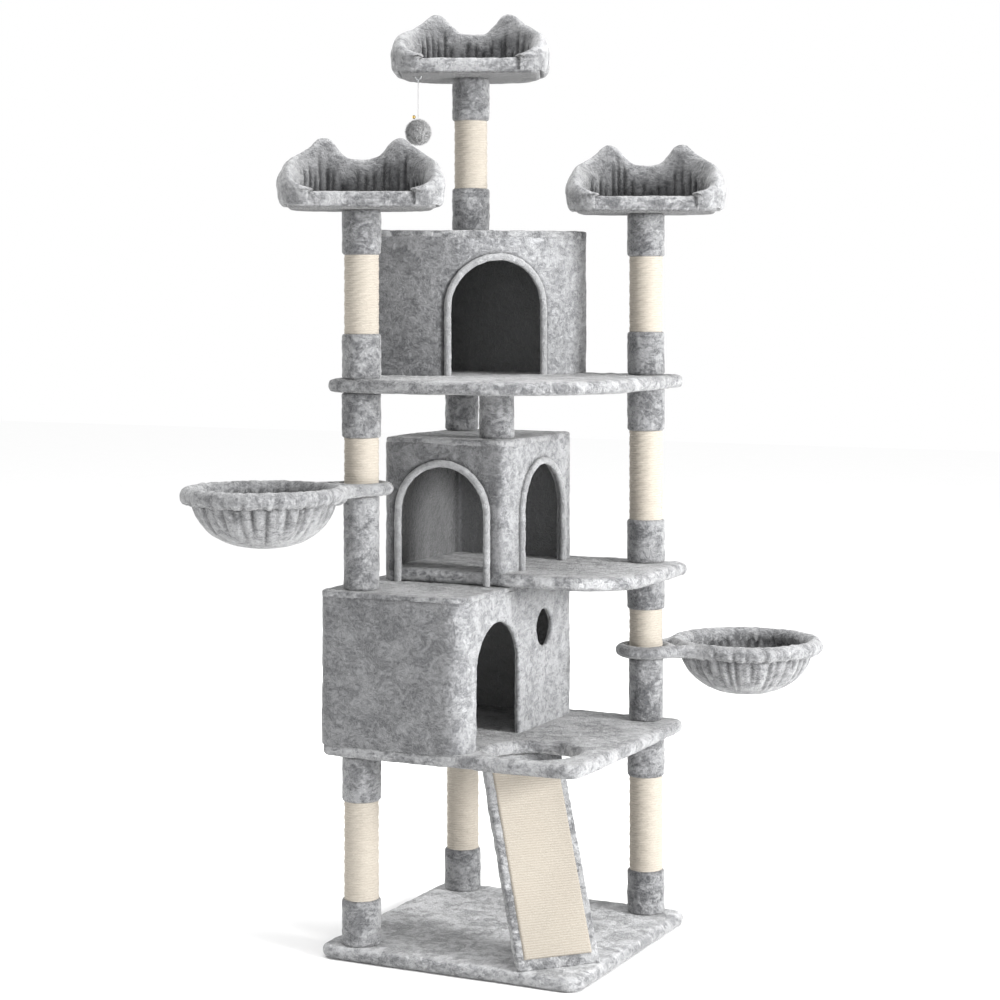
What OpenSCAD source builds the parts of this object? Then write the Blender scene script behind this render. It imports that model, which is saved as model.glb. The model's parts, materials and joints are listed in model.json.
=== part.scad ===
// Cat tree with three platforms, three houses, three rimmed perches, two swinging hammocks,
// a climbing ramp and a hanging ball. Millimetres, +Z up, origin at the centre of the base's
// underside, +X along the front edge and +Y towards the back.

/* [Platforms] */
// Width and depth of the base, the lower platform and the upper platform
deck_w = 580; // [560:5:600]
// Corner radius of the base and the lower platform
deck_r = 30; // [20:1:40]
// Thickness of each platform's board
board_t = 18; // [15:1:20]
// Thickness of the plush glued round each board
plush_t = 5; // [4:0.5:6]
// Height of the lower platform's underside
lower_z = 412; // [400:1:430]
// Height of the middle platform's underside
middle_z = 750; // [745:1:760]
// Height of the upper platform's underside
upper_z = 1152; // [1150:1:1170]
// Radius of the upper platform's swept front corner
upper_sweep_r = 270; // [200:5:280]
// Radius of the climbing hole in the lower platform
climb_hole_r = 91; // [80:1:95]

/* [Posts] */
// Outer diameter of the cardboard tubes
tube_d = 60; // [56:1:62]
// Wall of the cardboard tubes
tube_wall = 4; // [3:0.5:5]
// Outer diameter of the sisal rope wound on a tube
sisal_d = 71; // [69:0.5:73]
// Outer diameter of the padded cuffs at the ends of a post
cuff_d = 80; // [78:0.5:82]
// Outer diameter of a plain plush sleeve
sleeve_d = 73; // [71:0.5:74]
// Height of a padded cuff
cuff_h = 92; // [88:1:94]

/* [Houses] */
// Thickness of a house wall with its plush
wall_t = 14; // [12:1:15]
// Height of the lower house's roof above the ground
lower_roof_z = 750; // [745:1:760]
// Height of the middle house's roof above the ground
middle_roof_z = 1052; // [1045:1:1060]
// Height of the upper house's roof above the ground
upper_roof_z = 1488; // [1480:1:1500]
// Outer radius of the quarter-round upper house
upper_house_r = 340; // [330:1:345]
// Clear width of the arched doors
door_w = 200; // [190:1:205]
// Radius of the round window in the lower house
window_r = 39; // [35:1:42]

/* [Perches] */
// Width of a perch's board
perch_w = 300; // [290:1:304]
// Depth of a perch's board
perch_d = 280; // [270:1:284]
// Thickness of a perch's board with its plush
perch_t = 33; // [30:1:35]
// Width across a perch's padded rim
rim_w = 345; // [335:1:350]
// Thickness of a perch's padded rim
rim_t = 42; // [38:1:46]
// Height of the ear tips above the perch's underside
ear_h = 155; // [150:1:160]
// Height of the side perches' undersides
side_perch_z = 1525; // [1515:1:1535]
// Height of the top perch's underside
top_perch_z = 1818; // [1810:1:1825]
// Turn of the left perch about its post
left_turn = 29; // [25:1:32]
// Turn of the right perch about its post
right_turn = 22; // [18:1:26]
// Turn of the top perch about its post
top_turn = 25; // [20:1:30]

/* [Hammocks] */
// Radius of the hammock ring's wire circle
ring_r = 150; // [145:1:152]
// Radius of the padded rim round the ring
rim_r = 17; // [15:0.5:18]
// Depth of the hammock's bowl below the ring
bowl_depth = 105; // [95:1:110]
// Distance from the post's axis to the ring's centre
hammock_reach = 235; // [233:1:240]
// Height of the left hammock's ring
left_ring_z = 956; // [950:1:960]
// Height of the right hammock's ring
right_ring_z = 589; // [585:1:595]
// Direction that the left hammock points in
left_aim = 244; // [235:1:250]
// Direction that the right hammock points in
right_aim = 45; // [40:1:60]

/* [Ramp] */
// Width of the ramp
ramp_w = 176; // [165:1:180]
// Thickness of the ramp's board with its plush
ramp_t = 22; // [20:1:24]
// Turn of the ramp from the front
ramp_turn = 48; // [45:1:50]
// Distance that the ramp leans back over its height
ramp_lean = 190; // [185:1:195]

/* [Toy] */
// Radius of the plush ball
ball_r = 30; // [26:1:32]
// Radius of the toy's string
string_r = 1; // [0.8:0.1:1.2]

/* [Hidden] */
$fn = 64;

plush_grey = [0.72, 0.73, 0.74];
cuff_grey = [0.62, 0.63, 0.64];
sisal_cream = [0.90, 0.86, 0.79];
wood_tan = [0.78, 0.64, 0.46];
card_brown = [0.66, 0.52, 0.38];
steel_grey = [0.70, 0.71, 0.73];
brass_gold = [0.80, 0.64, 0.30];

gap = 0.3;                                  // play between pieces that nest
deck_h = board_t + 2 * plush_t;             // a platform with its plush
half_w = deck_w / 2;
lower_top = lower_z + deck_h;
middle_top = middle_z + deck_h;
upper_top = upper_z + deck_h;

// outlines as [x0, y0, x1, y1] and [front left, front right, back right, back left] radii
deck_box = [-half_w, -half_w, half_w, half_w];
deck_corners = [deck_r, deck_r, deck_r, deck_r];
middle_box = [-250, -90, 300, half_w];
middle_corners = [25, 130, deck_r, deck_r];
upper_corners = [60, upper_sweep_r, deck_r, deck_r];
lower_house_box = [-half_w, -half_w, 40, 250];
middle_house_box = [-250, -90, 40, 250];
house_corner_r = 25;
house_corners = [for (i = [0:3]) house_corner_r];
lower_house_corners = [house_corner_r, 42, house_corner_r, house_corner_r];
upper_house_at = [10 - half_w, half_w - 10];

// the posts stand on [x, y]
front_left = [-215, -240];
back_left = [-225, 240];
back_right = [215, 240];
short_back = [-210, 205];
short_front = [-10, -30];
top_post = [-140, 110];
climb_hole_at = [140, -170];

// every post as [place, lower end, upper end]
base_posts = [for (p = [front_left, back_left, back_right]) [p, deck_h, lower_z]];
front_left_post = [front_left, lower_roof_z, upper_z];
back_right_lower_post = [back_right, lower_top, middle_z];
back_right_middle_post = [back_right, middle_top, upper_z];
short_posts = [for (p = [short_back, short_front]) [p, middle_roof_z, upper_z]];
left_post = [front_left, upper_top, side_perch_z];
right_post = [back_right, upper_top, side_perch_z];
crown_post = [top_post, upper_roof_z, top_perch_z];
middle_posts = [front_left_post, back_right_lower_post, back_right_middle_post];
perch_posts = [left_post, right_post, crown_post];
all_posts = concat(base_posts, middle_posts, short_posts, perch_posts);

plug_h = 20;
insert_d = 12;
insert_h = 18;
thread_d = 8;
shank_d = 7.6;
bolt_hole_d = 9;
head_d = 16;
head_h = 4;
base_head_h = 3;
washer_d = 22;
washer_h = 1.5;
grip = 15;                                  // length of thread held in an insert

// studs join the posts above and below a platform: [place, platform's underside]
studs = [[back_right, lower_z], [back_right, middle_z], [back_right, upper_z], [front_left, upper_z]];
// bolts go down through a platform into the post under it
down_bolts = [
    [front_left, lower_z], [back_left, lower_z], [short_back, upper_z], [short_front, upper_z]
];
// bolts go up through a house roof into the post above it
up_bolts = [[front_left, lower_roof_z], [short_back, middle_roof_z], [short_front, middle_roof_z],
    [top_post, upper_roof_z]];

lower_door_w = door_w - 4;
lower_door_h = 244;                         // height of the lower house's arch above its floor
low_door_h = 218;                           // height of the middle house's arches
upper_door_w = door_w + 8;
upper_door_h = 248;                         // height of the upper house's arch
door_cut = 4 * wall_t;                      // depth of the cut through a flat wall
curved_cut = 6 * wall_t;                    // depth of the cut through the round wall
low_house_door_y = -123;
middle_door_x = -107;
middle_side_door_y = 88;
window_at = [102, 645];
piping_w = 14;
piping_t = 5;

sleeve_top = left_ring_z - 14;              // plain sleeve under the left hammock's loop
right_sleeve_top = right_ring_z - 14;
right_cuff_z = 678;
loop_r = 52;                                // the loop that grips the post
loop_pad_r = 13.5;
wire_r = 4;
neck_y = 30;
neck_gap = 1.2;                             // play round the neck wires in the padding
fabric_t = 4;

toy_offset = [-111, -60];                   // from the top perch's centre, in the perch's turn
staple_r = 6;
toy_wire_r = 1;
toy_ring_r = 5;
ring_drop = staple_r - toy_wire_r - gap;    // the ring's inside top hangs on the staple
toy_ring_z = top_perch_z - ring_drop - toy_ring_r + toy_wire_r;
string_top_z = toy_ring_z - toy_ring_r - toy_wire_r - gap;
// the string's route, downwards from its top
string_route = [
    [0, 0, 0], [0, 0, -5], [0, 0, -10], [0, 0, -15], [0, 0, -20], [0, 0, -25], [0, 0, -30],
    [0, 0, -35], [0, 0, -40], [0, 0, -45], [0, 0, -50], [0, 0, -55], [0, 0, -60], [0, 0, -65],
    [0, 0, -70], [0, 0, -75]
];
string_length = 75;
string_sides = 8;
ball_z = string_top_z - string_length - ball_r;
bell_r = 4;
bell_angle = 16;

// ---- shared shapes

// a rectangle with its own radius at each corner
module rounded_box(box, radii, inset = 0) {
    x0 = box[0] + inset;
    y0 = box[1] + inset;
    x1 = box[2] - inset;
    y1 = box[3] - inset;
    corner = [[x0, y0, 1, 1], [x1, y0, -1, 1], [x1, y1, -1, -1], [x0, y1, 1, -1]];
    difference() {
        translate([x0, y0]) square([x1 - x0, y1 - y0]);
        for (i = [0:3]) {
            c = corner[i];
            r = radii[i] - inset;
            translate([c[0], c[1]]) difference() {
                translate([c[2] < 0 ? -r : -1, c[3] < 0 ? -r : -1]) square(r + 1);
                translate([c[2] * r, c[3] * r]) circle(r);
            }
        }
    }
}

// a quarter disc with its square corner at the back left
module quarter(r, inset = 0) {
    intersection() {
        circle(r - inset, $fn = 128);
        translate([inset, -r]) square([r, r - inset]);
    }
}

module holes(places, d, z, h) {
    for (p = places) translate([p[0], p[1], z]) cylinder(d = d, h = h);
}

// the board inside a platform, with its bolt holes
module deck_board(box, radii, z, places) {
    difference() {
        translate([0, 0, z + plush_t]) linear_extrude(board_t)
            rounded_box(box, radii, plush_t + gap);
        holes(places, bolt_hole_d, z, deck_h);
    }
}

// the plush round a board
module deck_cover(box, radii, z, places) {
    difference() {
        translate([0, 0, z]) linear_extrude(deck_h) rounded_box(box, radii);
        translate([0, 0, z + plush_t]) linear_extrude(board_t) rounded_box(box, radii, plush_t);
        children();
    }
}

module ring(p, z0, z1, outer_d, inner_d) {
    translate([p[0], p[1], z0]) difference() {
        cylinder(d = outer_d, h = z1 - z0);
        translate([0, 0, -1]) cylinder(d = inner_d, h = z1 - z0 + 2);
    }
}

module tube(post) {
    ring(post[0], post[1], post[2], tube_d, tube_d - 2 * tube_wall);
}

// a soft band wrapped round a tube between two heights
module wrap(post, z0, z1, outer_d) {
    ring(post[0], z0, z1, outer_d, tube_d + 2 * gap);
}

// sisal between the two cuffs of a post
module sisal(post, low = cuff_h, high = cuff_h) {
    wrap(post, post[1] + low, post[2] - high, sisal_d);
}

module cuffs(post) {
    wrap(post, post[1], post[1] + cuff_h, cuff_d);
    wrap(post, post[2] - cuff_h, post[2], cuff_d);
}

module bolt_up(p, seat_z, shank, h) {
    translate([p[0], p[1], seat_z - h]) cylinder(d = head_d, h = h);
    translate([p[0], p[1], seat_z]) cylinder(d = shank_d, h = shank);
}

// an arched doorway cut along +Y: straight sides with a round head
module arch(w, h, depth) {
    rotate([90, 0, 0]) translate([0, 0, -depth / 2]) {
        translate([-w / 2, 0, 0]) cube([w, h - w / 2, depth]);
        translate([0, h - w / 2, 0]) cylinder(d = w, h = depth);
    }
}

module house_walls(box, corners, z0, z1) {
    translate([0, 0, z0]) linear_extrude(z1 - z0) difference() {
        rounded_box(box, corners);
        rounded_box(box, corners, wall_t);
    }
}

// ---- platforms

base_bolt_places = [front_left, back_left, back_right];

module base_board() {
    color(wood_tan) deck_board(deck_box, deck_corners, 0, base_bolt_places);
}

module base_cover() {
    color(plush_grey) deck_cover(deck_box, deck_corners, 0, []) {
        holes(base_bolt_places, bolt_hole_d, plush_t, deck_h);
        holes(base_bolt_places, washer_d + 2, -1, plush_t + 2);
    }
}

module lower_board() {
    color(wood_tan) difference() {
        deck_board(deck_box, deck_corners, lower_z, base_bolt_places);
        holes([front_left, back_left], head_d + 1, lower_z + plush_t + board_t - head_h, head_h + 1);
        holes([climb_hole_at], 2 * (climb_hole_r + plush_t + gap), lower_z, deck_h);
    }
}

module lower_cover() {
    color(plush_grey) difference() {
        translate([0, 0, lower_z]) linear_extrude(deck_h) difference() {
            rounded_box(deck_box, deck_corners);
            translate(climb_hole_at) circle(climb_hole_r);
        }
        translate([0, 0, lower_z + plush_t]) linear_extrude(board_t) difference() {
            rounded_box(deck_box, deck_corners, plush_t);
            translate(climb_hole_at) circle(climb_hole_r + plush_t);
        }
        holes([front_left, back_left], bolt_hole_d, lower_z - 1, deck_h / 2);
        holes([back_right], bolt_hole_d, lower_z - 1, deck_h + 2);
    }
}

module middle_board() {
    color(wood_tan) deck_board(middle_box, middle_corners, middle_z, [back_right]);
}

module middle_cover() {
    color(plush_grey) deck_cover(middle_box, middle_corners, middle_z) {
        holes([back_right], bolt_hole_d, middle_z - 1, deck_h + 2);
    }
}

module upper_board() {
    color(wood_tan) difference() {
        deck_board(deck_box, upper_corners, upper_z,
            [front_left, back_right, short_back, short_front]);
        holes([short_back, short_front], head_d + 1,
            upper_z + plush_t + board_t - head_h, head_h + 1);
    }
}

module upper_cover() {
    color(plush_grey) deck_cover(deck_box, upper_corners, upper_z) {
        holes([front_left, back_right], bolt_hole_d, upper_z - 1, deck_h + 2);
        holes([short_back, short_front], bolt_hole_d, upper_z - 1, deck_h / 2);
    }
}

// ---- posts

module base_post_tubes() { color(card_brown) for (p = base_posts) tube(p); }
module middle_post_tubes() { color(card_brown) for (p = middle_posts) tube(p); }
module short_post_tubes() { color(card_brown) for (p = short_posts) tube(p); }
module perch_post_tubes() { color(card_brown) for (p = perch_posts) tube(p); }

module front_left_base_sisal() { color(sisal_cream) sisal(base_posts[0]); }
module back_left_base_sisal() { color(sisal_cream) sisal(base_posts[1]); }
module back_right_base_sisal() { color(sisal_cream) sisal(base_posts[2]); }
module left_perch_sisal() { color(sisal_cream) sisal(left_post); }
module right_perch_sisal() { color(sisal_cream) sisal(right_post); }
module top_perch_sisal() { color(sisal_cream) sisal(crown_post); }
module back_right_middle_sisal() { color(sisal_cream) sisal(back_right_middle_post); }

module front_left_middle_sisal() {
    color(sisal_cream) wrap(front_left_post, sleeve_top, upper_z - cuff_h, sisal_d);
}

module back_right_lower_sisal() {
    color(sisal_cream) wrap(back_right_lower_post, right_sleeve_top, right_cuff_z, sisal_d);
}

module base_post_cuffs() { color(cuff_grey) for (p = base_posts) cuffs(p); }
module back_right_middle_cuffs() { color(cuff_grey) cuffs(back_right_middle_post); }
module left_perch_cuffs() { color(cuff_grey) cuffs(left_post); }
module right_perch_cuffs() { color(cuff_grey) cuffs(right_post); }
module top_perch_cuffs() { color(cuff_grey) cuffs(crown_post); }

module front_left_middle_cuffs() {
    color(cuff_grey) {
        wrap(front_left_post, lower_roof_z, sleeve_top, sleeve_d);
        wrap(front_left_post, upper_z - cuff_h, upper_z, cuff_d);
    }
}

module back_right_lower_cuffs() {
    color(cuff_grey) {
        wrap(back_right_lower_post, lower_top, right_sleeve_top, sleeve_d);
        wrap(back_right_lower_post, right_cuff_z, middle_z, cuff_d);
    }
}

module short_post_sleeves() {
    color(cuff_grey) for (p = short_posts) wrap(p, p[1], p[2], sleeve_d);
}

// ---- plugs, inserts and fasteners

module at_post_ends() {
    for (p = all_posts) {
        translate([p[0][0], p[0][1], p[1]]) children();
        translate([p[0][0], p[0][1], p[2]]) mirror([0, 0, 1]) children();
    }
}

module end_plugs() {
    plug_d = tube_d - 2 * tube_wall - 2 * gap;
    color(wood_tan) at_post_ends() ring([0, 0], 0, plug_h, plug_d, insert_d + 2 * gap);
}

module threaded_inserts() {
    color(steel_grey) at_post_ends() ring([0, 0], 0, insert_h, insert_d, thread_d);
}

module joining_studs() {
    color(steel_grey) for (s = studs)
        translate([s[0][0], s[0][1], s[1] - grip]) cylinder(d = shank_d, h = deck_h + 2 * grip);
}

module base_bolts() {
    color(steel_grey) for (p = base_bolt_places) {
        bolt_up(p, plush_t - washer_h, washer_h + board_t + plush_t + grip, base_head_h);
    }
}

module base_washers() {
    color(steel_grey) for (p = base_bolt_places)
        ring(p, plush_t - washer_h, plush_t, washer_d, shank_d + 2 * gap);
}

module platform_bolts() {
    color(steel_grey) {
        for (b = down_bolts) {
            seat = b[1] + plush_t + board_t - head_h;
            translate([0, 0, 2 * seat]) mirror([0, 0, 1])
                bolt_up(b[0], seat, seat - b[1] + grip, head_h);
        }
        for (b = up_bolts) bolt_up(b[0], b[1] - wall_t, wall_t + grip, head_h);
        for (p = perch_posts) {
            seat = p[2] + perch_t - head_h;
            translate([0, 0, 2 * seat]) mirror([0, 0, 1])
                bolt_up(p[0], seat, seat - p[2] + grip, head_h);
        }
    }
}

// ---- houses

module lower_house_walls() {
    color(plush_grey) difference() {
        house_walls(lower_house_box, lower_house_corners, lower_top, lower_roof_z - wall_t);
        translate([lower_house_box[2], low_house_door_y, lower_top])
            rotate([0, 0, 90]) arch(lower_door_w, lower_door_h, door_cut);
        translate([lower_house_box[2] - 2 * wall_t, window_at[0], window_at[1]])
            rotate([0, 90, 0]) cylinder(r = window_r, h = door_cut);
    }
}

module lower_house_roof() {
    color(plush_grey) difference() {
        translate([0, 0, lower_roof_z - wall_t]) linear_extrude(wall_t)
            rounded_box(lower_house_box, lower_house_corners);
        holes([front_left], bolt_hole_d, lower_roof_z - 2 * wall_t, 3 * wall_t);
    }
}

module middle_house_walls() {
    color(plush_grey) difference() {
        house_walls(middle_house_box, house_corners, middle_top, middle_roof_z - wall_t);
        translate([middle_door_x, middle_house_box[1], middle_top])
            arch(door_w, low_door_h, door_cut);
        translate([middle_house_box[2], middle_side_door_y, middle_top])
            rotate([0, 0, 90]) arch(door_w, low_door_h, door_cut);
    }
}

module middle_house_roof() {
    color(plush_grey) difference() {
        translate([0, 0, middle_roof_z - wall_t]) linear_extrude(wall_t)
            rounded_box(middle_house_box, house_corners);
        holes([short_back, short_front], bolt_hole_d, middle_roof_z - 2 * wall_t, 3 * wall_t);
    }
}

module upper_house_walls() {
    color(plush_grey) translate([upper_house_at[0], upper_house_at[1], upper_top])
        difference() {
            linear_extrude(upper_roof_z - wall_t - upper_top) difference() {
                quarter(upper_house_r);
                quarter(upper_house_r, wall_t);
            }
            rotate([0, 0, 45]) translate([0, -upper_house_r + wall_t, 0])
                arch(upper_door_w, upper_door_h, curved_cut);
        }
}

module upper_house_roof() {
    color(plush_grey) difference() {
        translate([upper_house_at[0], upper_house_at[1], upper_roof_z - wall_t])
            linear_extrude(wall_t) quarter(upper_house_r);
        holes([top_post], bolt_hole_d, upper_roof_z - 2 * wall_t, 3 * wall_t);
    }
}

// a padded band round an arch, with its outer face at y = 0
module arch_band(w, h) {
    translate([0, piping_t / 2, 0]) difference() {
        arch(w + 2 * piping_w, h + piping_w, piping_t);
        translate([0, 0, -1]) arch(w, h + 1, piping_t + 2);
    }
}

module middle_door_piping() {
    color(plush_grey) {
        translate([middle_door_x, middle_house_box[1] - piping_t, middle_z])
            arch_band(door_w, low_door_h + middle_top - middle_z);
        translate([middle_house_box[2] + piping_t, middle_side_door_y, middle_top])
            rotate([0, 0, 90]) arch_band(door_w, low_door_h);
    }
}

// the band follows the round wall of the upper house
module upper_door_piping() {
    w = upper_door_w;
    h = upper_door_h;
    color(plush_grey) translate([upper_house_at[0], upper_house_at[1], upper_top])
        intersection() {
            linear_extrude(upper_roof_z - upper_top) difference() {
                circle(upper_house_r + gap + piping_t, $fn = 128);
                circle(upper_house_r + gap, $fn = 128);
            }
            rotate([0, 0, 45]) translate([0, -upper_house_r + wall_t, 0]) difference() {
                arch(w + 2 * piping_w, h + piping_w, curved_cut);
                translate([0, 0, -1]) arch(w, h + 1, curved_cut + wall_t);
            }
        }
}

// ---- perches

perch_corners = [45, 45, 100, 100];
rim_corners = [60, 60, 125, 125];
rim_front = 12;                             // how far the rim's ends stay behind the lip
rim_low = 12;                               // the rim hangs this high beside the board

// board outline, front edge centred at y = -perch_d / 2
module perch_outline(inset = 0) {
    rounded_box([-perch_w / 2, -perch_d / 2, perch_w / 2, perch_d / 2], perch_corners, inset);
}

module rim_outline(inset = 0) {
    side = rim_w / 2;
    front = -perch_d / 2 + rim_front;
    rounded_box([-side, front, side, perch_d / 2 + side - perch_w / 2], rim_corners, inset);
}

// front view of the rim: two ears and a dip between them
module ear_profile() {
    side = rim_w / 2;
    polygon([
        [-side, 0], [side, 0], [side, 82], [150, 110], [118, 131], [96, ear_h - 5], [80, ear_h],
        [62, ear_h - 6], [46, 127], [34, 114], [0, 110], [-34, 114], [-46, 127], [-62, ear_h - 6],
        [-80, ear_h], [-96, ear_h - 5], [-118, 131], [-150, 110], [-side, 82]
    ]);
}

// side view of the rim: the ends come down to the lip at the front
module slope_profile() {
    front = -perch_d / 2;
    polygon([
        [front, 0], [200, 0], [200, ear_h + 10], [90, ear_h + 10], [40, 136], [-30, 118],
        [-80, 100], [-110, 84], [front + 14, 60], [front + rim_front, 40]
    ]);
}

module perch_board() {
    difference() {
        linear_extrude(perch_t) perch_outline();
        translate([0, 0, -1]) cylinder(d = bolt_hole_d, h = perch_t + 2);
        translate([0, 0, perch_t - head_h]) cylinder(d = head_d + 1, h = head_h + 1);
    }
}

module perch_rim() {
    intersection() {
        union() {
            translate([0, 0, perch_t]) linear_extrude(ear_h) difference() {
                rim_outline();
                rounded_box([-rim_w / 2 + rim_t, -perch_d, rim_w / 2 - rim_t,
                    perch_d / 2 + (rim_w - perch_w) / 2 - rim_t], [0, 0, 83, 83]);
            }
            translate([0, 0, rim_low]) linear_extrude(perch_t - rim_low) difference() {
                rim_outline();
                rounded_box([-perch_w / 2 - gap, -perch_d, perch_w / 2 + gap,
                    perch_d / 2 + gap], [0, 0, 100 + gap, 100 + gap]);
            }
        }
        rotate([90, 0, 0]) translate([0, 0, -perch_d]) linear_extrude(2 * perch_d) ear_profile();
        rotate([90, 0, 90]) translate([0, 0, -rim_w]) linear_extrude(2 * rim_w) slope_profile();
    }
}

module at_perch(post, turn) {
    translate([post[0][0], post[0][1], post[2]]) rotate([0, 0, turn]) children();
}

module left_perch_board() { color(plush_grey) at_perch(left_post, left_turn) perch_board(); }
module left_perch_rim() { color(plush_grey) at_perch(left_post, left_turn) perch_rim(); }
module right_perch_board() { color(plush_grey) at_perch(right_post, right_turn) perch_board(); }
module right_perch_rim() { color(plush_grey) at_perch(right_post, right_turn) perch_rim(); }
module top_perch_board() { color(plush_grey) at_perch(crown_post, top_turn) perch_board(); }
module top_perch_rim() { color(plush_grey) at_perch(crown_post, top_turn) perch_rim(); }

// ---- hammocks

// places children with the post's axis at the origin and the ring's centre along +X
module at_hammock(p, z, aim) {
    translate([p[0], p[1], z]) rotate([0, 0, aim]) children();
}

module torus(major, minor) {
    rotate_extrude() translate([major, 0]) circle(minor);
}

module neck_wires(r) {
    start = sqrt(loop_r * loop_r - neck_y * neck_y);
    end = hammock_reach - sqrt(ring_r * ring_r - neck_y * neck_y);
    for (s = [-1, 1]) translate([start, s * neck_y, 0])
        rotate([0, 90, 0]) cylinder(r = r, h = end - start);
}

// steel wire: the ring, the loop round the post and the neck between them
module hammock_frame() {
    union() {
        torus(loop_r, wire_r);
        translate([hammock_reach, 0, 0]) torus(ring_r, wire_r);
        neck_wires(wire_r);
    }
}

// the bowl's section: a band of a sphere hung from the rim
module bowl_section() {
    edge = ring_r - rim_r / 2;
    sphere_r = (edge * edge + bowl_depth * bowl_depth) / (2 * bowl_depth);
    difference() {
        union() {
            translate([ring_r, 0]) circle(rim_r);
            intersection() {
                translate([0, sphere_r - bowl_depth]) difference() {
                    circle(sphere_r);
                    circle(sphere_r - fabric_t);
                }
                translate([0, -bowl_depth - 1]) square([ring_r, bowl_depth + 1]);
            }
        }
        translate([ring_r, 0]) circle(wire_r + gap);
    }
}

// padded rim and bowl, and the padded sleeve on the loop
module hammock_sling() {
    difference() {
        union() {
            translate([hammock_reach, 0, 0]) rotate_extrude() bowl_section();
            rotate_extrude() translate([loop_r, 0]) difference() {
                circle(loop_pad_r);
                circle(wire_r + gap);
            }
        }
        neck_wires(wire_r + neck_gap);
    }
}

module left_hammock_frame() {
    color(steel_grey) at_hammock(front_left, left_ring_z, left_aim) hammock_frame();
}
module left_hammock_sling() {
    color(plush_grey) at_hammock(front_left, left_ring_z, left_aim) hammock_sling();
}
module right_hammock_frame() {
    color(steel_grey) at_hammock(back_right, right_ring_z, right_aim) hammock_frame();
}
module right_hammock_sling() {
    color(plush_grey) at_hammock(back_right, right_ring_z, right_aim) hammock_sling();
}

// ---- ramp

ramp_at = [222, -222];                      // middle of the ramp's foot
pad_w = 146;
pad_t = 4;
pad_end = 22;                               // plush left bare at each end of the ramp
ramp_rise = lower_z - deck_h;
ramp_tilt = atan(ramp_lean / ramp_rise);
ramp_length = norm([ramp_lean, ramp_rise]);

// children stand up the ramp's front face: width along X, length along Z, thickness along +Y
module at_ramp() {
    translate([ramp_at[0], ramp_at[1], deck_h])
        rotate([0, 0, ramp_turn]) rotate([-ramp_tilt, 0, 0]) children();
}

module ramp_board() {
    color(plush_grey) intersection() {
        at_ramp() translate([-ramp_w / 2, 0, -ramp_t]) cube([ramp_w, ramp_t, ramp_length + 2 * ramp_t]);
        translate([-half_w, -half_w, deck_h]) cube([deck_w, deck_w, ramp_rise]);
    }
}

module ramp_pad() {
    color(sisal_cream) at_ramp() translate([-pad_w / 2, -pad_t, pad_end])
        cube([pad_w, pad_t, ramp_length - 2 * pad_end]);
}

// ---- toy

module at_toy(z) {
    translate([top_post[0], top_post[1], z]) rotate([0, 0, top_turn])
        translate([toy_offset[0], toy_offset[1], 0]) children();
}

// half a ring of wire under the perch, open towards the perch
module toy_staple() {
    color(steel_grey) intersection() {
        at_toy(top_perch_z) rotate([90, 0, 0]) torus(staple_r, toy_wire_r);
        at_toy(top_perch_z) translate([-10, -10, -10]) cube([20, 20, 10]);
    }
}

module toy_ring() {
    color(steel_grey) at_toy(toy_ring_z) rotate([90, 0, 90]) torus(toy_ring_r, toy_wire_r);
}

// one ring of points round the string at each point of its route
function string_points(route) = [
    for (p = route, i = [0:string_sides - 1])
        p + string_r * [cos(360 * i / string_sides), sin(360 * i / string_sides), 0]
];

function string_faces(rings) = concat(
    [[for (i = [0:string_sides - 1]) i]],
    [for (k = [0:rings - 2], i = [0:string_sides - 1]) let (j = (i + 1) % string_sides)
        [k * string_sides + i, (k + 1) * string_sides + i,
         (k + 1) * string_sides + j, k * string_sides + j]],
    [[for (i = [string_sides - 1:-1:0]) (rings - 1) * string_sides + i]]
);

module toy_string() {
    color("white") at_toy(string_top_z)
        polyhedron(string_points(string_route), string_faces(len(string_route)));
}

module toy_ball() { color(plush_grey) at_toy(ball_z) sphere(ball_r); }

module toy_bell() {
    color(brass_gold) at_toy(ball_z) rotate([0, -bell_angle, 0])
        translate([0, 0, ball_r + bell_r + gap]) sphere(bell_r);
}

base_board();
base_cover();
lower_board();
lower_cover();
middle_board();
middle_cover();
upper_board();
upper_cover();
base_post_tubes();
middle_post_tubes();
short_post_tubes();
perch_post_tubes();
front_left_base_sisal();
back_left_base_sisal();
back_right_base_sisal();
front_left_middle_sisal();
back_right_lower_sisal();
back_right_middle_sisal();
left_perch_sisal();
right_perch_sisal();
top_perch_sisal();
base_post_cuffs();
front_left_middle_cuffs();
back_right_lower_cuffs();
back_right_middle_cuffs();
short_post_sleeves();
left_perch_cuffs();
right_perch_cuffs();
top_perch_cuffs();
end_plugs();
threaded_inserts();
joining_studs();
base_bolts();
base_washers();
platform_bolts();
lower_house_walls();
lower_house_roof();
middle_house_walls();
middle_house_roof();
upper_house_walls();
upper_house_roof();
middle_door_piping();
upper_door_piping();
left_perch_board();
left_perch_rim();
right_perch_board();
right_perch_rim();
top_perch_board();
top_perch_rim();
left_hammock_frame();
left_hammock_sling();
right_hammock_frame();
right_hammock_sling();
ramp_board();
ramp_pad();
toy_staple();
toy_ring();
toy_string();
toy_ball();
toy_bell();
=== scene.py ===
import bpy
import bmesh
import json
import math
import numpy as np
from mathutils import Matrix, Vector, noise


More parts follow.
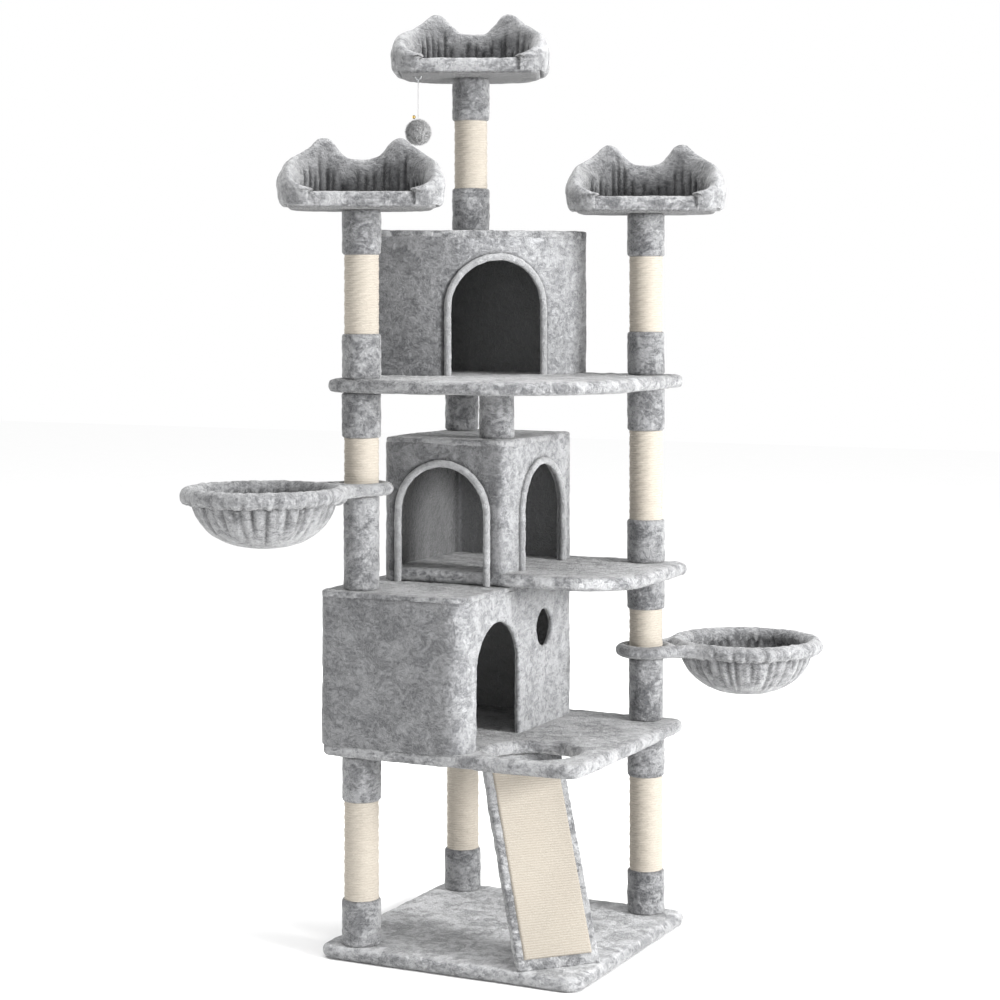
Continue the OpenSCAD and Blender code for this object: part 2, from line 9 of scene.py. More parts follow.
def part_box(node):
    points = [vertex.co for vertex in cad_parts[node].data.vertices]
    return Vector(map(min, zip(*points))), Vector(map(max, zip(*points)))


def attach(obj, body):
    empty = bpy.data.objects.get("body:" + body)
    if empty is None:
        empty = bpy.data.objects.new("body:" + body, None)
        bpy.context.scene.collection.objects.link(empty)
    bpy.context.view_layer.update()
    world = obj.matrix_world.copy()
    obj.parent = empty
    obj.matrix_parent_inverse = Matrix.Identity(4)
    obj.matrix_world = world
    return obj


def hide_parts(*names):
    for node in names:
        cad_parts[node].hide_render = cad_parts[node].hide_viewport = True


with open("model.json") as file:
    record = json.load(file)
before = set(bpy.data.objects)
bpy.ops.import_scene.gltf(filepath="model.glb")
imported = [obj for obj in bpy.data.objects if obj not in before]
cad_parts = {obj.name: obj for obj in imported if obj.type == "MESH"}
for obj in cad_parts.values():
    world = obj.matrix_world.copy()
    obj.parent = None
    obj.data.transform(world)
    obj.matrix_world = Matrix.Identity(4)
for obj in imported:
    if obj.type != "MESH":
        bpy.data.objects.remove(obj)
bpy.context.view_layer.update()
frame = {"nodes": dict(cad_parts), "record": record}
nodes = frame["nodes"]
scene = bpy.context.scene
rng = np.random.default_rng(11)
print("frame loaded:", len(nodes), "nodes")


# camera, light and floor

stageSet = {
    "cameraAt": (2.114, -4.411, 1.365), "cameraTurn": 26.05, "cameraDip": 0.0,
    "lens": 84.06, "shiftX": 0.0108, "shiftY": -0.2118,
    "floorSize": 30.0, "worldGlow": 1.0,
    # name: (place, target, width, watts)
    "lamps": {
        "keyLamp": ((5.4, -0.8, 1.9), (0.0, 0.0, 0.9), 1.8, 470.0),
        "topLamp": ((0.9, 0.2, 5.2), (0.0, 0.0, 1.0), 2.2, 190.0),
        "backLamp": ((-3.6, 2.4, 2.2), (0.0, 0.0, 1.1), 1.6, 70.0),
    },
}


def aim(thing, target):
    direction = Vector(target) - thing.location
    thing.rotation_euler = direction.to_track_quat("-Z", "Y").to_euler()


def setStage(s):
    eye = bpy.data.cameras.new("treeCamera")
    camera = bpy.data.objects.new("treeCamera", eye)
    scene.collection.objects.link(camera)
    camera.location = s["cameraAt"]
    camera.rotation_euler = (math.radians(90 - s["cameraDip"]), 0, math.radians(s["cameraTurn"]))
    eye.lens = s["lens"]
    eye.sensor_width = 36
    eye.shift_x = s["shiftX"]
    eye.shift_y = s["shiftY"]
    eye.clip_end = 60
    scene.camera = camera
    for name, (place, target, width, watts) in s["lamps"].items():
        lamp = bpy.data.lights.new(name, "AREA")
        lamp.shape = "DISK"
        lamp.size = width
        lamp.energy = watts
        holder = bpy.data.objects.new(name, lamp)
        scene.collection.objects.link(holder)
        holder.location = place
        aim(holder, target)
    world = bpy.data.worlds.new("studio")
    world.use_nodes = True
    glow = world.node_tree.nodes["Background"]
    glow.inputs["Color"].default_value = (1, 1, 1, 1)
    glow.inputs["Strength"].default_value = s["worldGlow"]
    scene.world = world
    scene.view_settings.view_transform = "Standard"
    half = s["floorSize"] / 2
    floor = newMesh("floor", [(-half, -half, 0), (half, -half, 0), (half, half, 0), (-half, half, 0)],
                    [(0, 1, 2, 3)])
    return floor


# meshes

def newMesh(name, points, faces, smooth=True):
    mesh = bpy.data.meshes.new(name)
    mesh.from_pydata([tuple(p) for p in points], [], [tuple(f) for f in faces])
    mesh.update()
    if smooth:
        mesh.shade_smooth()
    piece = bpy.data.objects.new(name, mesh)
    scene.collection.objects.link(piece)
    return piece


# a skin over rings of points; every ring is closed, and the row of rings may be closed too
def skinRings(name, rings, loop=False, caps=True):
    rings = np.asarray(rings, float)
    count, around = rings.shape[:2]
    points = rings.reshape(-1, 3)
    faces = []
    for i in range(count if loop else count - 1):
        a, b = i * around, ((i + 1) % count) * around
        for j in range(around):
            k = (j + 1) % around
            faces.append((a + j, a + k, b + k, b + j))
    if caps and not loop:
        faces.append(tuple(reversed(range(around))))
        faces.append(tuple(range((count - 1) * around, count * around)))
    piece = newMesh(name, points, faces)
    fixNormals(piece)
    return piece


def fixNormals(piece):
    work = bmesh.new()
    work.from_mesh(piece.data)
    bmesh.ops.recalc_face_normals(work, faces=work.faces)
    work.to_mesh(piece.data)
    work.free()


# a solid of revolution about a vertical axis from a closed profile of (radius, height)
def lathe(name, centre, profile, steps=96, bend=None):
    turn = np.linspace(0, 2 * math.pi, steps, endpoint=False)
    profile = np.asarray(profile, float)
    rings = np.zeros((steps, len(profile), 3))
    for i, a in enumerate(turn):
        r, z = profile[:, 0], profile[:, 1]
        if bend:
            r, z = bend(a, r, z)
        rings[i] = np.stack([centre[0] + r * math.cos(a), centre[1] + r * math.sin(a),
                             centre[2] + z], axis=1)
    return skinRings(name, rings, loop=True)


def settle(piece):
    shape = piece.evaluated_get(bpy.context.evaluated_depsgraph_get())
    mesh = bpy.data.meshes.new_from_object(shape)
    piece.modifiers.clear()
    old = piece.data
    piece.data = mesh
    bpy.data.meshes.remove(old)
    mesh.shade_smooth()
    return piece


def copyOf(name, source):
    piece = bpy.data.objects.new(name, source.data.copy())
    scene.collection.objects.link(piece)
    piece.data.materials.clear()
    work = bmesh.new()
    work.from_mesh(piece.data)
    bmesh.ops.remove_doubles(work, verts=work.verts, dist=1e-5)
    work.to_mesh(piece.data)
    work.free()
    return piece


# turns a hard solid into a soft one with rounded edges
def soften(piece, voxel, rounds, factor=0.5):
    cells = piece.modifiers.new("cells", "REMESH")
    cells.mode = "VOXEL"
    cells.voxel_size = voxel
    cells.use_smooth_shade = True
    round_ = piece.modifiers.new("rounding", "SMOOTH")
    round_.factor = factor
    round_.iterations = rounds
    return settle(piece)


def pointsOf(piece):
    points = np.zeros(len(piece.data.vertices) * 3)
    piece.data.vertices.foreach_get("co", points)
    return points.reshape(-1, 3)


def normalsOf(piece):
    normals = np.zeros(len(piece.data.vertices) * 3)
    piece.data.vertices.foreach_get("normal", normals)
    return normals.reshape(-1, 3)


def movePoints(piece, points):
    piece.data.vertices.foreach_set("co", np.asarray(points, float).ravel())
    piece.data.update()


# smooth noise at every point: frequency in waves a metre
def lumps(points, frequency, seed=0.0, stretch=(1, 1, 1)):
    scaled = points * (np.array(stretch) * frequency) + seed
    return np.array([noise.noise(p) for p in scaled])


# pushes the surface in and out by layers of (amplitude in metres, waves a metre)
def ruffle(piece, layers, seed=0.0, mask=None):
    points, normals = pointsOf(piece), normalsOf(piece)
    push = np.zeros(len(points))
    for amplitude, frequency in layers:
        push += amplitude * lumps(points, frequency, seed + frequency)
    if mask is not None:
        push *= mask
    movePoints(piece, points + normals * push[:, None])


# a value at each point that the materials read
def setShade(piece, name, values):
    layer = piece.data.attributes.get(name) or piece.data.attributes.new(name, "FLOAT", "POINT")
    layer.data.foreach_set("value", np.clip(values, 0, 1).astype(np.float32))


# painted shade: how deep in a fold or shaded place each point lies, which darkens its colour
def setPaintedShade(piece, values):
    setShade(piece, "hollow", values)


# painted light: how far the pile at each point is painted lighter, as if lit more
def setPaintedLight(piece, values):
    setShade(piece, "nap", values)


def smoothstep(x, low, high):
    t = np.clip((x - low) / (high - low), 0, 1)
    return t * t * (3 - 2 * t)


def dress(piece, material, body="root", replaces=()):
    piece.data.materials.clear()
    piece.data.materials.append(material)
    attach(piece, body)
    if replaces:
        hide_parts(*replaces)
    return piece


# a rectangle with its own corner radii, as points anticlockwise from the front left
def roundedOutline(low, high, radii, step=0.006):
    corners = [(low[0], low[1], 180), (high[0], low[1], 270),
               (high[0], high[1], 0), (low[0], high[1], 90)]
    inward = [(1, 1), (-1, 1), (-1, -1), (1, -1)]
    outline = []
    for (x, y, start), (sx, sy), r in zip(corners, inward, radii):
        steps = max(4, int(r * math.pi / 2 / step))
        for i in range(steps + 1):
            a = math.radians(start + 90 * i / steps)
            outline.append((x + sx * r + r * math.cos(a), y + sy * r + r * math.sin(a)))
    return outline


def prism(name, outline, z0, z1):
    n = len(outline)
    points = [(x, y, z0) for x, y in outline] + [(x, y, z1) for x, y in outline]
    faces = [tuple(reversed(range(n))), tuple(range(n, 2 * n))]
    faces += [(i, (i + 1) % n, n + (i + 1) % n, n + i) for i in range(n)]
    return newMesh(name, points, faces)


def smoothLine(points, count, closed=False):
    points = np.asarray(points, float)
    n = len(points)
    out = []
    spans = n if closed else n - 1
    for t in np.linspace(0, spans, count, endpoint=not closed):
        i = min(int(t), spans - 1)
        f = t - i
        if closed:
            p = [points[(i + k) % n] for k in (-1, 0, 1, 2)]
        else:
            p = [points[min(max(i + k, 0), n - 1)] for k in (-1, 0, 1, 2)]
        out.append(0.5 * (2 * p[1] + (p[2] - p[0]) * f + (2 * p[0] - 5 * p[1] + 4 * p[2] - p[3]) * f ** 2
                          + (3 * p[1] - p[0] - 3 * p[2] + p[3]) * f ** 3))
    return np.array(out)


# a round tube along a line
def tubeAlong(name, line, radius, sides=12, closed=False):
    line = np.asarray(line, float)
    n = len(line)
    radius = np.broadcast_to(np.asarray(radius, float), n)
    if closed:
        tangents = np.roll(line, -1, 0) - np.roll(line, 1, 0)
    else:
        tangents = np.gradient(line, axis=0)
    tangents /= np.linalg.norm(tangents, axis=1)[:, None]
    side = np.cross(tangents[0], (0, 0, 1))
    if np.linalg.norm(side) < 0.1:
        side = np.array([1.0, 0, 0])
    rings = []
    for p, t, r in zip(line, tangents, radius):
        side = side - t * side.dot(t)
        side = side / np.linalg.norm(side)
        other = np.cross(t, side)
        turn = np.linspace(0, 2 * math.pi, sides, endpoint=False)
        rings.append([p + r * (math.cos(a) * side + math.sin(a) * other) for a in turn])
    return skinRings(name, rings, loop=closed)


# materials

class Wire:
    # a socket that sums and products can be written with
    def __init__(self, paint, socket):
        self.paint = paint
        self.socket = socket

    def math(self, operation, first, second=None):
        values = {0: first} if second is None else {0: first, 1: second}
        return self.paint.add("ShaderNodeMath", {"operation": operation}, values)

    def __add__(self, other):
        return self.math("ADD", self, other)

    def __radd__(self, other):
        return self.math("ADD", other, self)

    def __sub__(self, other):
        return self.math("SUBTRACT", self, other)

    def __rsub__(self, other):
        return self.math("SUBTRACT", other, self)

    def __mul__(self, other):
        return self.math("MULTIPLY", self, other)

    def __rmul__(self, other):
        return self.math("MULTIPLY", other, self)

    def clamp(self):
        return self.paint.add("ShaderNodeClamp", {}, {"Value": self})


class Paint:
    def __init__(self, name):
        self.material = bpy.data.materials.new(name)
        self.material.use_nodes = True
        self.tree = self.material.node_tree
        self.tree.nodes.clear()
        self.shader = self.tree.nodes.new("ShaderNodeBsdfPrincipled")
        out = self.tree.nodes.new("ShaderNodeOutputMaterial")
        self.tree.links.new(self.shader.outputs[0], out.inputs["Surface"])

    # settings are set before sockets are filled; stops belong to a colour ramp
    def add(self, kind, settings=None, values=None, out=0):
        node = self.tree.nodes.new(kind)
        for key, value in (settings or {}).items():
            if key == "stops":
                ramp = node.color_ramp
                while len(ramp.elements) < len(value):
                    ramp.elements.new(0.5)
                for element, (place, colour) in zip(ramp.elements, value):
                    element.position = place
                    element.color = (*colour, 1)
            else:
                setattr(node, key, value)
        self.fill(node, values or {})
        return Wire(self, node.outputs[out])

    def fill(self, node, values):
        for key, value in values.items():
            socket = node.inputs[key]
            if isinstance(value, Wire):
                self.tree.links.new(value.socket, socket)
            elif isinstance(value, tuple) and len(value) == 3 and socket.type == "RGBA":
                socket.default_value = (*value, 1)
            else:
                socket.default_value = value

    def surface(self, **values):
        self.fill(self.shader, {key.replace("_", " "): value for key, value in values.items()})

    def place(self):
        return self.add("ShaderNodeTexCoord", {}, {}, "Object")

    def noise(self, where, scale, detail=3.0, rough=0.55, twist=0.0):
        return self.add("ShaderNodeTexNoise", {}, {"Vector": where, "Scale": scale, "Detail": detail,
                                                   "Roughness": rough, "Distortion": twist})

    def noiseColour(self, where, scale, detail=2.0):
        return self.add("ShaderNodeTexNoise", {},
                        {"Vector": where, "Scale": scale, "Detail": detail}, "Color")

    def stretch(self, where, scale):
        return self.add("ShaderNodeMapping", {}, {"Vector": where, "Scale": scale})

    def shift(self, where, by, amount):
        centred = self.add("ShaderNodeVectorMath", {"operation": "SUBTRACT"},
                           {0: by, 1: (0.5, 0.5, 0.5)})
        scaled = self.add("ShaderNodeVectorMath", {"operation": "SCALE"}, {0: centred, "Scale": amount})
        return self.add("ShaderNodeVectorMath", {"operation": "ADD"}, {0: where, 1: scaled})

    def step(self, value, low, high):
        return self.add("ShaderNodeMapRange", {"interpolation_type": "SMOOTHSTEP"},
                        {"Value": value, "From Min": low, "From Max": high})

    def mix(self, amount, first, second, blend="MIX"):
        node = self.tree.nodes.new("ShaderNodeMix")
        node.data_type = "RGBA"
        node.blend_type = blend
        self.fill(node, {0: amount, 6: first, 7: second})
        return Wire(self, node.outputs[2])

    def bump(self, height, depth, strength=1.0):
        return self.add("ShaderNodeBump", {},
                        {"Height": height, "Distance": depth, "Strength": strength})

    def named(self, name):
        return self.add("ShaderNodeAttribute", {"attribute_name": name}, {}, "Fac")

    def hollow(self):
        return self.named("hollow")


plushSets = {
    # dark and light pile, size of the crushed patches in waves a metre, and their contrast
    "plush": {"dark": (0.095, 0.097, 0.102), "light": (0.290, 0.293, 0.300),
        "patch": 34, "soft": 0.085},
    "deckPlush": {"dark": (0.092, 0.094, 0.099), "light": (0.395, 0.398, 0.405),
        "patch": 24, "soft": 0.075},
    "cuffPlush": {"dark": (0.076, 0.078, 0.083), "light": (0.350, 0.353, 0.360),
        "patch": 30, "soft": 0.080},
    "bedPlush": {"dark": (0.110, 0.112, 0.117), "light": (0.370, 0.373, 0.380),
        "patch": 30, "soft": 0.090},
    # painted light: a lighter copy of the lining for inside the lower house, standing in for light
    # reaching in
    "paintedLightLiner": {"dark": (0.40, 0.402, 0.407), "light": (0.50, 0.502, 0.508),
        "patch": 34, "soft": 0.26},
    "liner": {"dark": (0.215, 0.217, 0.222), "light": (0.275, 0.277, 0.283),
        "patch": 34, "soft": 0.26},
    "piping": {"dark": (0.24, 0.243, 0.25), "light": (0.44, 0.443, 0.45),
        "patch": 60, "soft": 0.14},
    "ballPlush": {"dark": (0.44, 0.442, 0.448), "light": (0.92, 0.922, 0.925),
        "patch": 90, "soft": 0.16},
}


def plushPaint(name, s):
    p = Paint(name)
    where = p.place()
    bent = p.shift(where, p.noiseColour(where, s["patch"] * 0.55), 0.030)
    crushed = p.noise(p.stretch(bent, (0.72, 1.25, 1.0)), s["patch"], 4.0, 0.62, 0.6)
    streaks = p.noise(p.stretch(bent, (1.0, 0.55, 1.6)), s["patch"] * 3.1, 3.0, 0.6, 0.4)
    tufts = p.noise(where, 420.0, 2.0, 0.6)
    pile = p.noise(where, 1500.0, 1.0, 0.5)
    broad = p.noise(where, 8.0, 2.0, 0.5)
    tone = p.step(crushed * 0.50 + streaks * 0.38 + broad * 0.12, 0.5 - s["soft"], 0.5 + s["soft"])
    crinkle = p.step(p.noise(bent, 125.0, 3.0, 0.7, 1.2), 0.40, 0.60)
    mottled = (tone * 0.62 + crinkle * 0.24 + tufts * 0.30 - 0.08).clamp()
    plain = p.mix(mottled, s["dark"], s["light"])
    # painted light: a lighter copy of the pile, laid on where a point is marked as lit more
    paintedLit = p.mix(mottled, tuple(1.55 * c for c in s["dark"]), tuple(1.50 * c for c in s["light"]))
    colour = p.mix(p.named("nap"), plain, paintedLit)
    # painted shade: darker where a point is marked as lying in a fold, seam, underside or shaded face
    shaded = p.mix(p.hollow() * 0.86, colour, tuple(0.30 * c for c in s["dark"]))
    height = crushed * 1.0 + streaks * 0.5 + crinkle * 0.35 + tufts * 0.30 + pile * 0.12
    p.surface(Base_Color=shaded, Roughness=0.86 + tone * 0.10, Normal=p.bump(height, 0.0045, 0.9))
    p.surface(Sheen_Weight=0.55, Sheen_Roughness=0.38, Specular_IOR_Level=0.12)
    return p.material


def sisalPaint(name, across, pale):
    p = Paint(name)
    where = p.place()
    strands = p.noise(p.stretch(where, across), 240.0, 4.0, 0.65)
    patches = p.noise(where, 16.0, 3.0, 0.55)
    flecks = p.noise(where, 900.0, 2.0, 0.6)
    cream = p.mix(p.step(strands, 0.30, 0.70), tuple(pale * c for c in (0.350, 0.316, 0.268)),
                  tuple(pale * c for c in (0.462, 0.426, 0.373)))
    warm = p.mix(p.step(patches, 0.35, 0.68) * 0.35, cream,
                 tuple(pale * c for c in (0.410, 0.368, 0.316)))
    # painted shade in the grooves between the windings and between the mat's ribs
    shaded = p.mix(p.hollow() * 0.42, warm, (0.20, 0.165, 0.120))
    p.surface(Base_Color=shaded, Roughness=0.82 + flecks * 0.12,
              Normal=p.bump(strands * 0.8 + flecks * 0.4, 0.0012, 0.9))
    p.surface(Specular_IOR_Level=0.25)
    return p.material


def stringPaint():
    p = Paint("toyString")
    where = p.place()
    twist = p.add("ShaderNodeTexWave", {"bands_direction": "DIAGONAL"},
                  {"Vector": where, "Scale": 260.0, "Distortion": 0.6})
    p.surface(Base_Color=p.mix(twist, (0.36, 0.36, 0.36), (0.56, 0.56, 0.56)), Roughness=0.75,
              Normal=p.bump(twist, 0.0004))
    return p.material


def metalPaint(name, colour, dull, metal=1.0):
    p = Paint(name)
    where = p.place()
    smears = p.noise(where, 60.0, 4.0, 0.6)
    scratches = p.noise(p.stretch(where, (1, 1, 14)), 700.0, 2.0, 0.5)
    p.surface(Base_Color=p.mix(smears, tuple(0.8 * c for c in colour), colour), Metallic=metal,
              Roughness=dull + smears * 0.18, Normal=p.bump(scratches, 0.0001, 0.5))
    return p.material


def woodPaint():
    p = Paint("particleBoard")
    where = p.place()
    chips = p.add("ShaderNodeTexVoronoi", {}, {"Vector": where, "Scale": 260.0}, "Color")
    grain = p.noise(where, 90.0, 4.0, 0.6)
    tint = p.mix(0.35, p.mix(grain, (0.42, 0.29, 0.17), (0.62, 0.47, 0.30)), chips, "SOFT_LIGHT")
    p.surface(Base_Color=tint, Roughness=0.7 + grain * 0.2, Normal=p.bump(grain, 0.0006))
    return p.material


def cardPaint():
    p = Paint("cardboardTube")
    where = p.place()
    fibres = p.noise(p.stretch(where, (1, 1, 0.25)), 300.0, 4.0, 0.6)
    seams = p.add("ShaderNodeTexWave", {"bands_direction": "DIAGONAL"},
                  {"Vector": where, "Scale": 9.0, "Distortion": 0.3})
    tint = p.mix(fibres, (0.36, 0.25, 0.16), (0.50, 0.37, 0.25))
    p.surface(Base_Color=p.mix(p.step(seams, 0.0, 0.08), (0.28, 0.19, 0.12), tint), Roughness=0.9,
              Normal=p.bump(fibres, 0.0004))
    return p.material


def floorPaint():
    p = Paint("studioFloor")
    grain = p.noise(p.place(), 6.0, 2.0)
    p.surface(Base_Color=p.mix(grain, (0.955, 0.955, 0.955), (0.975, 0.975, 0.975)), Roughness=0.9)
    p.surface(Specular_IOR_Level=0.0)
    return p.material


floor = setStage(stageSet)
floor.data.materials.append(floorPaint())
plush = {name: plushPaint(name, s) for name, s in plushSets.items()}
sisal = sisalPaint("sisalRope", (1, 1, 5), 1.0)
matSisal = sisalPaint("sisalMat", (2, 2, 2), 0.82)
steel = metalPaint("zincSteel", (0.62, 0.63, 0.65), 0.28)
brass = metalPaint("brass", (0.78, 0.55, 0.20), 0.18)
wood = woodPaint()
card = cardPaint()
print("materials made")


# inner pieces keep their exact shape and get a finish

slotPaints = {"board": wood, "cardboard": card, "steel": steel, "brass": brass}
for row in frame["record"]["subparts"]:
    if row["material_slot"] in slotPaints:
        mesh = nodes[row["node"]].data
        mesh.materials.clear()
        mesh.materials.append(slotPaints[row["material_slot"]])


# platforms

deckSet = {
    "voxel": 0.0050, "edge": 0.0105, "swell": [(0.0016, 11), (0.0011, 42), (0.0008, 110)],
    # cover node: corner radii from the front left, anticlockwise
    "corners": {
        "base_cover": (0.030, 0.030, 0.030, 0.030),
        "lower_cover": (0.030, 0.030, 0.030, 0.030),
        "middle_cover": (0.025, 0.130, 0.030, 0.030),
        "upper_cover": (0.060, 0.270, 0.030, 0.030),
    },
    "holeAt": (0.140, -0.170), "holeRadius": 0.091, "tuck": 0.0010,
    # painted light: how much lighter the pile of each is painted, on its top and on its front edge
    "nap": {"base_cover": (1.0, 0.25), "middle_cover": (0.0, 0.8)},
}


# the edge draws back where a house's front and left walls hang down over it
def tuckIn(outline, low, depth):
    closed = outline + outline[:1]
    fine = []
    for (x0, y0), (x1, y1) in zip(closed, closed[1:]):
        steps = max(1, int(math.hypot(x1 - x0, y1 - y0) / 0.008))
        fine += [(x0 + (x1 - x0) * i / steps, y0 + (y1 - y0) * i / steps) for i in range(steps)]
    tucked = []
    for x, y in fine:
        door = smoothstep(x, -0.212, -0.202) * smoothstep(-0.002 - x, 0, 0.010)
        front = smoothstep(low.y + 0.030 - y, 0, 0.020) * smoothstep(0.045 - x, 0, 0.045)
        front *= 1 - 0.8 * door
        left = smoothstep(low.x + 0.030 - x, 0, 0.020)
        tucked.append((x + depth * float(left), y + depth * float(front)))
    return tucked


def plushDeck(node, radii, s):
    low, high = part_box(node)
    outline = roundedOutline(low, high, radii)
    if node == "middle_cover":
        outline = tuckIn(outline, low, s["tuck"])
    piece = prism(node + "Plush", outline, low.z, high.z)
    if node == "lower_cover":
        cut = prism("holeCutter", [(s["holeAt"][0] + s["holeRadius"] * math.cos(a),
                                    s["holeAt"][1] + s["holeRadius"] * math.sin(a))
                                   for a in np.linspace(0, 2 * math.pi, 96, endpoint=False)],
                    low.z - 0.02, high.z + 0.02)
        bore = piece.modifiers.new("bore", "BOOLEAN")
        bore.operation = "DIFFERENCE"
        bore.object = cut
        settle(piece)
        bpy.data.objects.remove(cut)
    edge = piece.modifiers.new("edge", "BEVEL")
    edge.width = s["edge"]
    edge.segments = 4
    edge.limit_method = "ANGLE"
    edge.angle_limit = math.radians(50)
    settle(piece)
    soften(piece, s["voxel"], 4)
    points = pointsOf(piece)
    ruffle(piece, s["swell"], low.z)
    # the underside and the feet of the edge stay flat where the piece rests
    moved = pointsOf(piece)
    moved[:, 2] = np.clip(moved[:, 2], low.z, high.z + 0.003)
    movePoints(piece, moved)
    # painted shade along the bottom of the edge, and painted light on the top and front edge
    side = smoothstep(low.z + 0.009 - points[:, 2], 0.0, 0.009)
    setPaintedShade(piece, side * 0.45)
    up, front = normalsOf(piece)[:, 2], -normalsOf(piece)[:, 1]
    topPaintedLight, frontPaintedLight = s["nap"].get(node, (0.0, 0.0))
    setPaintedLight(piece, topPaintedLight * smoothstep(up, 0.3, 0.9) + frontPaintedLight * smoothstep(front, 0.3, 0.9))
    return dress(piece, plush["deckPlush"], "root", [node])


for node, radii in deckSet["corners"].items():
    plushDeck(node, radii, deckSet)
print("platforms made")


# posts: rope windings, cuffs and sleeves

postSet = {"tubeRadius": 0.0303, "ropePitch": 0.0052, "ropeDepth": 0.0011, "stepsAround": 72,
           "stepsPerTurn": 7, "lip": 0.006, "cuffStep": 0.0030}


# rope wound on a tube: the surface follows the turns of one long helix
def ropeWrap(node, s):
    low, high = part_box(node)
    centre = (low + high) / 2
    outer = (high.x - low.x) / 2
    around = s["stepsAround"]
    rows = int((high.z - low.z) / s["ropePitch"] * s["stepsPerTurn"])
    turn = np.linspace(0, 2 * math.pi, around, endpoint=False)
    rings, hollow = [], []
    for z in np.linspace(low.z, high.z, rows + 1):
        phase = (z / s["ropePitch"] - turn / (2 * math.pi)) % 1.0
        across = 2 * phase - 1
        crown = np.sqrt(np.clip(1 - across ** 2, 0, 1))
        wobble = 0.00035 * np.sin(3 * turn + z * 210) + 0.00030 * np.sin(7 * turn - z * 480)
        radius = outer - s["ropeDepth"] * (1 - crown) + wobble
        rings.append(np.stack([centre.x + radius * np.cos(turn), centre.y + radius * np.sin(turn),
                               np.full(around, z)], axis=1))
        # painted shade in the groove between windings
        hollow.append((1 - crown) ** 2)
    inner = [(centre.x + s["tubeRadius"] * math.cos(a), centre.y + s["tubeRadius"] * math.sin(a))
             for a in turn]
    bottom = [(x, y, low.z) for x, y in inner]
    top = [(x, y, high.z) for x, y in inner]
    piece = skinRings(node + "Rope", [bottom] + rings + [top], loop=True)
    setPaintedShade(piece, np.concatenate([np.zeros(around)] + hollow + [np.zeros(around)]))
    return dress(piece, sisal, "root", [node])


for node in nodes:
    if node.endswith("_sisal"):
        ropeWrap(node, postSet)
print("rope wound")


# the separate rings of a cuff node, as (centre, radius, bottom, top)
def bandsOf(node):
    work = bmesh.new()
    work.from_mesh(nodes[node].data)
    bmesh.ops.remove_doubles(work, verts=work.verts, dist=1e-5)
    seen, bands = set(), []
    for start in work.verts:
        if start in seen:
            continue
        group, stack = [], [start]
        seen.add(start)
        while stack:
            v = stack.pop()
            group.append(v.co.copy())
            for e in v.link_edges:
                o = e.other_vert(v)
                if o not in seen:
                    seen.add(o)
                    stack.append(o)
        xs, ys, zs = [[p[i] for p in group] for i in range(3)]
        bands.append(((min(xs) + max(xs)) / 2, (min(ys) + max(ys)) / 2, (max(xs) - min(xs)) / 2,
                      min(zs), max(zs)))
    work.free()
    return sorted(bands, key=lambda b: (round(b[0], 3), round(b[1], 3), b[3]))


# a plush band: a soft tube with turned-in ends and a sewn seam at the back
def plushBand(name, band, s):
    x, y, radius, z0, z1 = band
    lip = s["lip"]
    rows = int((z1 - z0 - 2 * lip) / s["cuffStep"])
    profile = [(s["tubeRadius"], z0)]
    for i in range(7):
        a = math.pi / 2 * i / 6
        profile.append((radius - lip + lip * math.sin(a), z0 + lip - lip * math.cos(a)))
    for i in range(1, rows):
        profile.append((radius, z0 + lip + (z1 - z0 - 2 * lip) * i / rows))
    for i in range(7):
        a = math.pi / 2 * i / 6
        profile.append((radius - lip + lip * math.cos(a), z1 - lip + lip * math.sin(a)))
    profile.append((s["tubeRadius"], z1))
    piece = lathe(name, (x, y, 0), profile, 112)
    points, normals = pointsOf(piece), normalsOf(piece)
    out = np.hypot(points[:, 0] - x, points[:, 1] - y)
    mask = smoothstep(out, s["tubeRadius"] + 0.002, radius - 0.001)
    ruffle(piece, [(0.0011, 38), (0.0008, 95), (0.0005, 210)], x * 7 + z0, mask)
    angle = np.arctan2(points[:, 1] - y, points[:, 0] - x)
    fromSeam = np.abs(((angle - math.radians(120) + math.pi) % (2 * math.pi)) - math.pi) * radius
    seam = np.exp(-(fromSeam / 0.0022) ** 2) * mask
    movePoints(piece, pointsOf(piece) - normals * (seam * 0.0018)[:, None])
    # painted shade along the seam and at the turned-in ends
    ends = np.exp(-((points[:, 2] - z0) / 0.004) ** 2) + np.exp(-((z1 - points[:, 2]) / 0.0025) ** 2)
    setPaintedShade(piece, 0.55 * seam + 0.45 * ends)
    return piece


def joined(name, pieces):
    points, faces, hollow, start = [], [], [], 0
    for piece in pieces:
        points.append(pointsOf(piece))
        faces += [tuple(start + v for v in f.vertices) for f in piece.data.polygons]
        start += len(piece.data.vertices)
        # each part's painted shade values are carried over to the whole
        layer = piece.data.attributes.get("hollow")
        values = np.zeros(len(piece.data.vertices), np.float32)
        if layer:
            layer.data.foreach_get("value", values)
        hollow.append(values)
        bpy.data.objects.remove(piece)
    whole = newMesh(name, np.concatenate(points), faces)
    setPaintedShade(whole, np.concatenate(hollow))
    return whole


for node in nodes:
    if node.endswith("_cuffs") or node.endswith("_sleeves"):
        bands = bandsOf(node)
        parts = [plushBand(f"{node}Part{i}", b, postSet) for i, b in enumerate(bands)]
        dress(joined(node + "Plush", parts), plush["cuffPlush"], "root", [node])
print("cuffs made")


# houses

houseSet = {
    "voxel": 0.0042, "rounds": 4, "swell": [(0.0018, 9), (0.0010, 40), (0.0006, 110)],
    "wall": 0.014, "hang": 0.0275, "flare": 0.0025,
    # painted shade on the front and inside the left wall, and painted light on the outer walls facing
    # right and on the strips hanging down
    "frontShade": 0.17, "innerShade": 0.90, "sidePaintedLight": 0.85, "hangPaintedLight": 0.7,
}


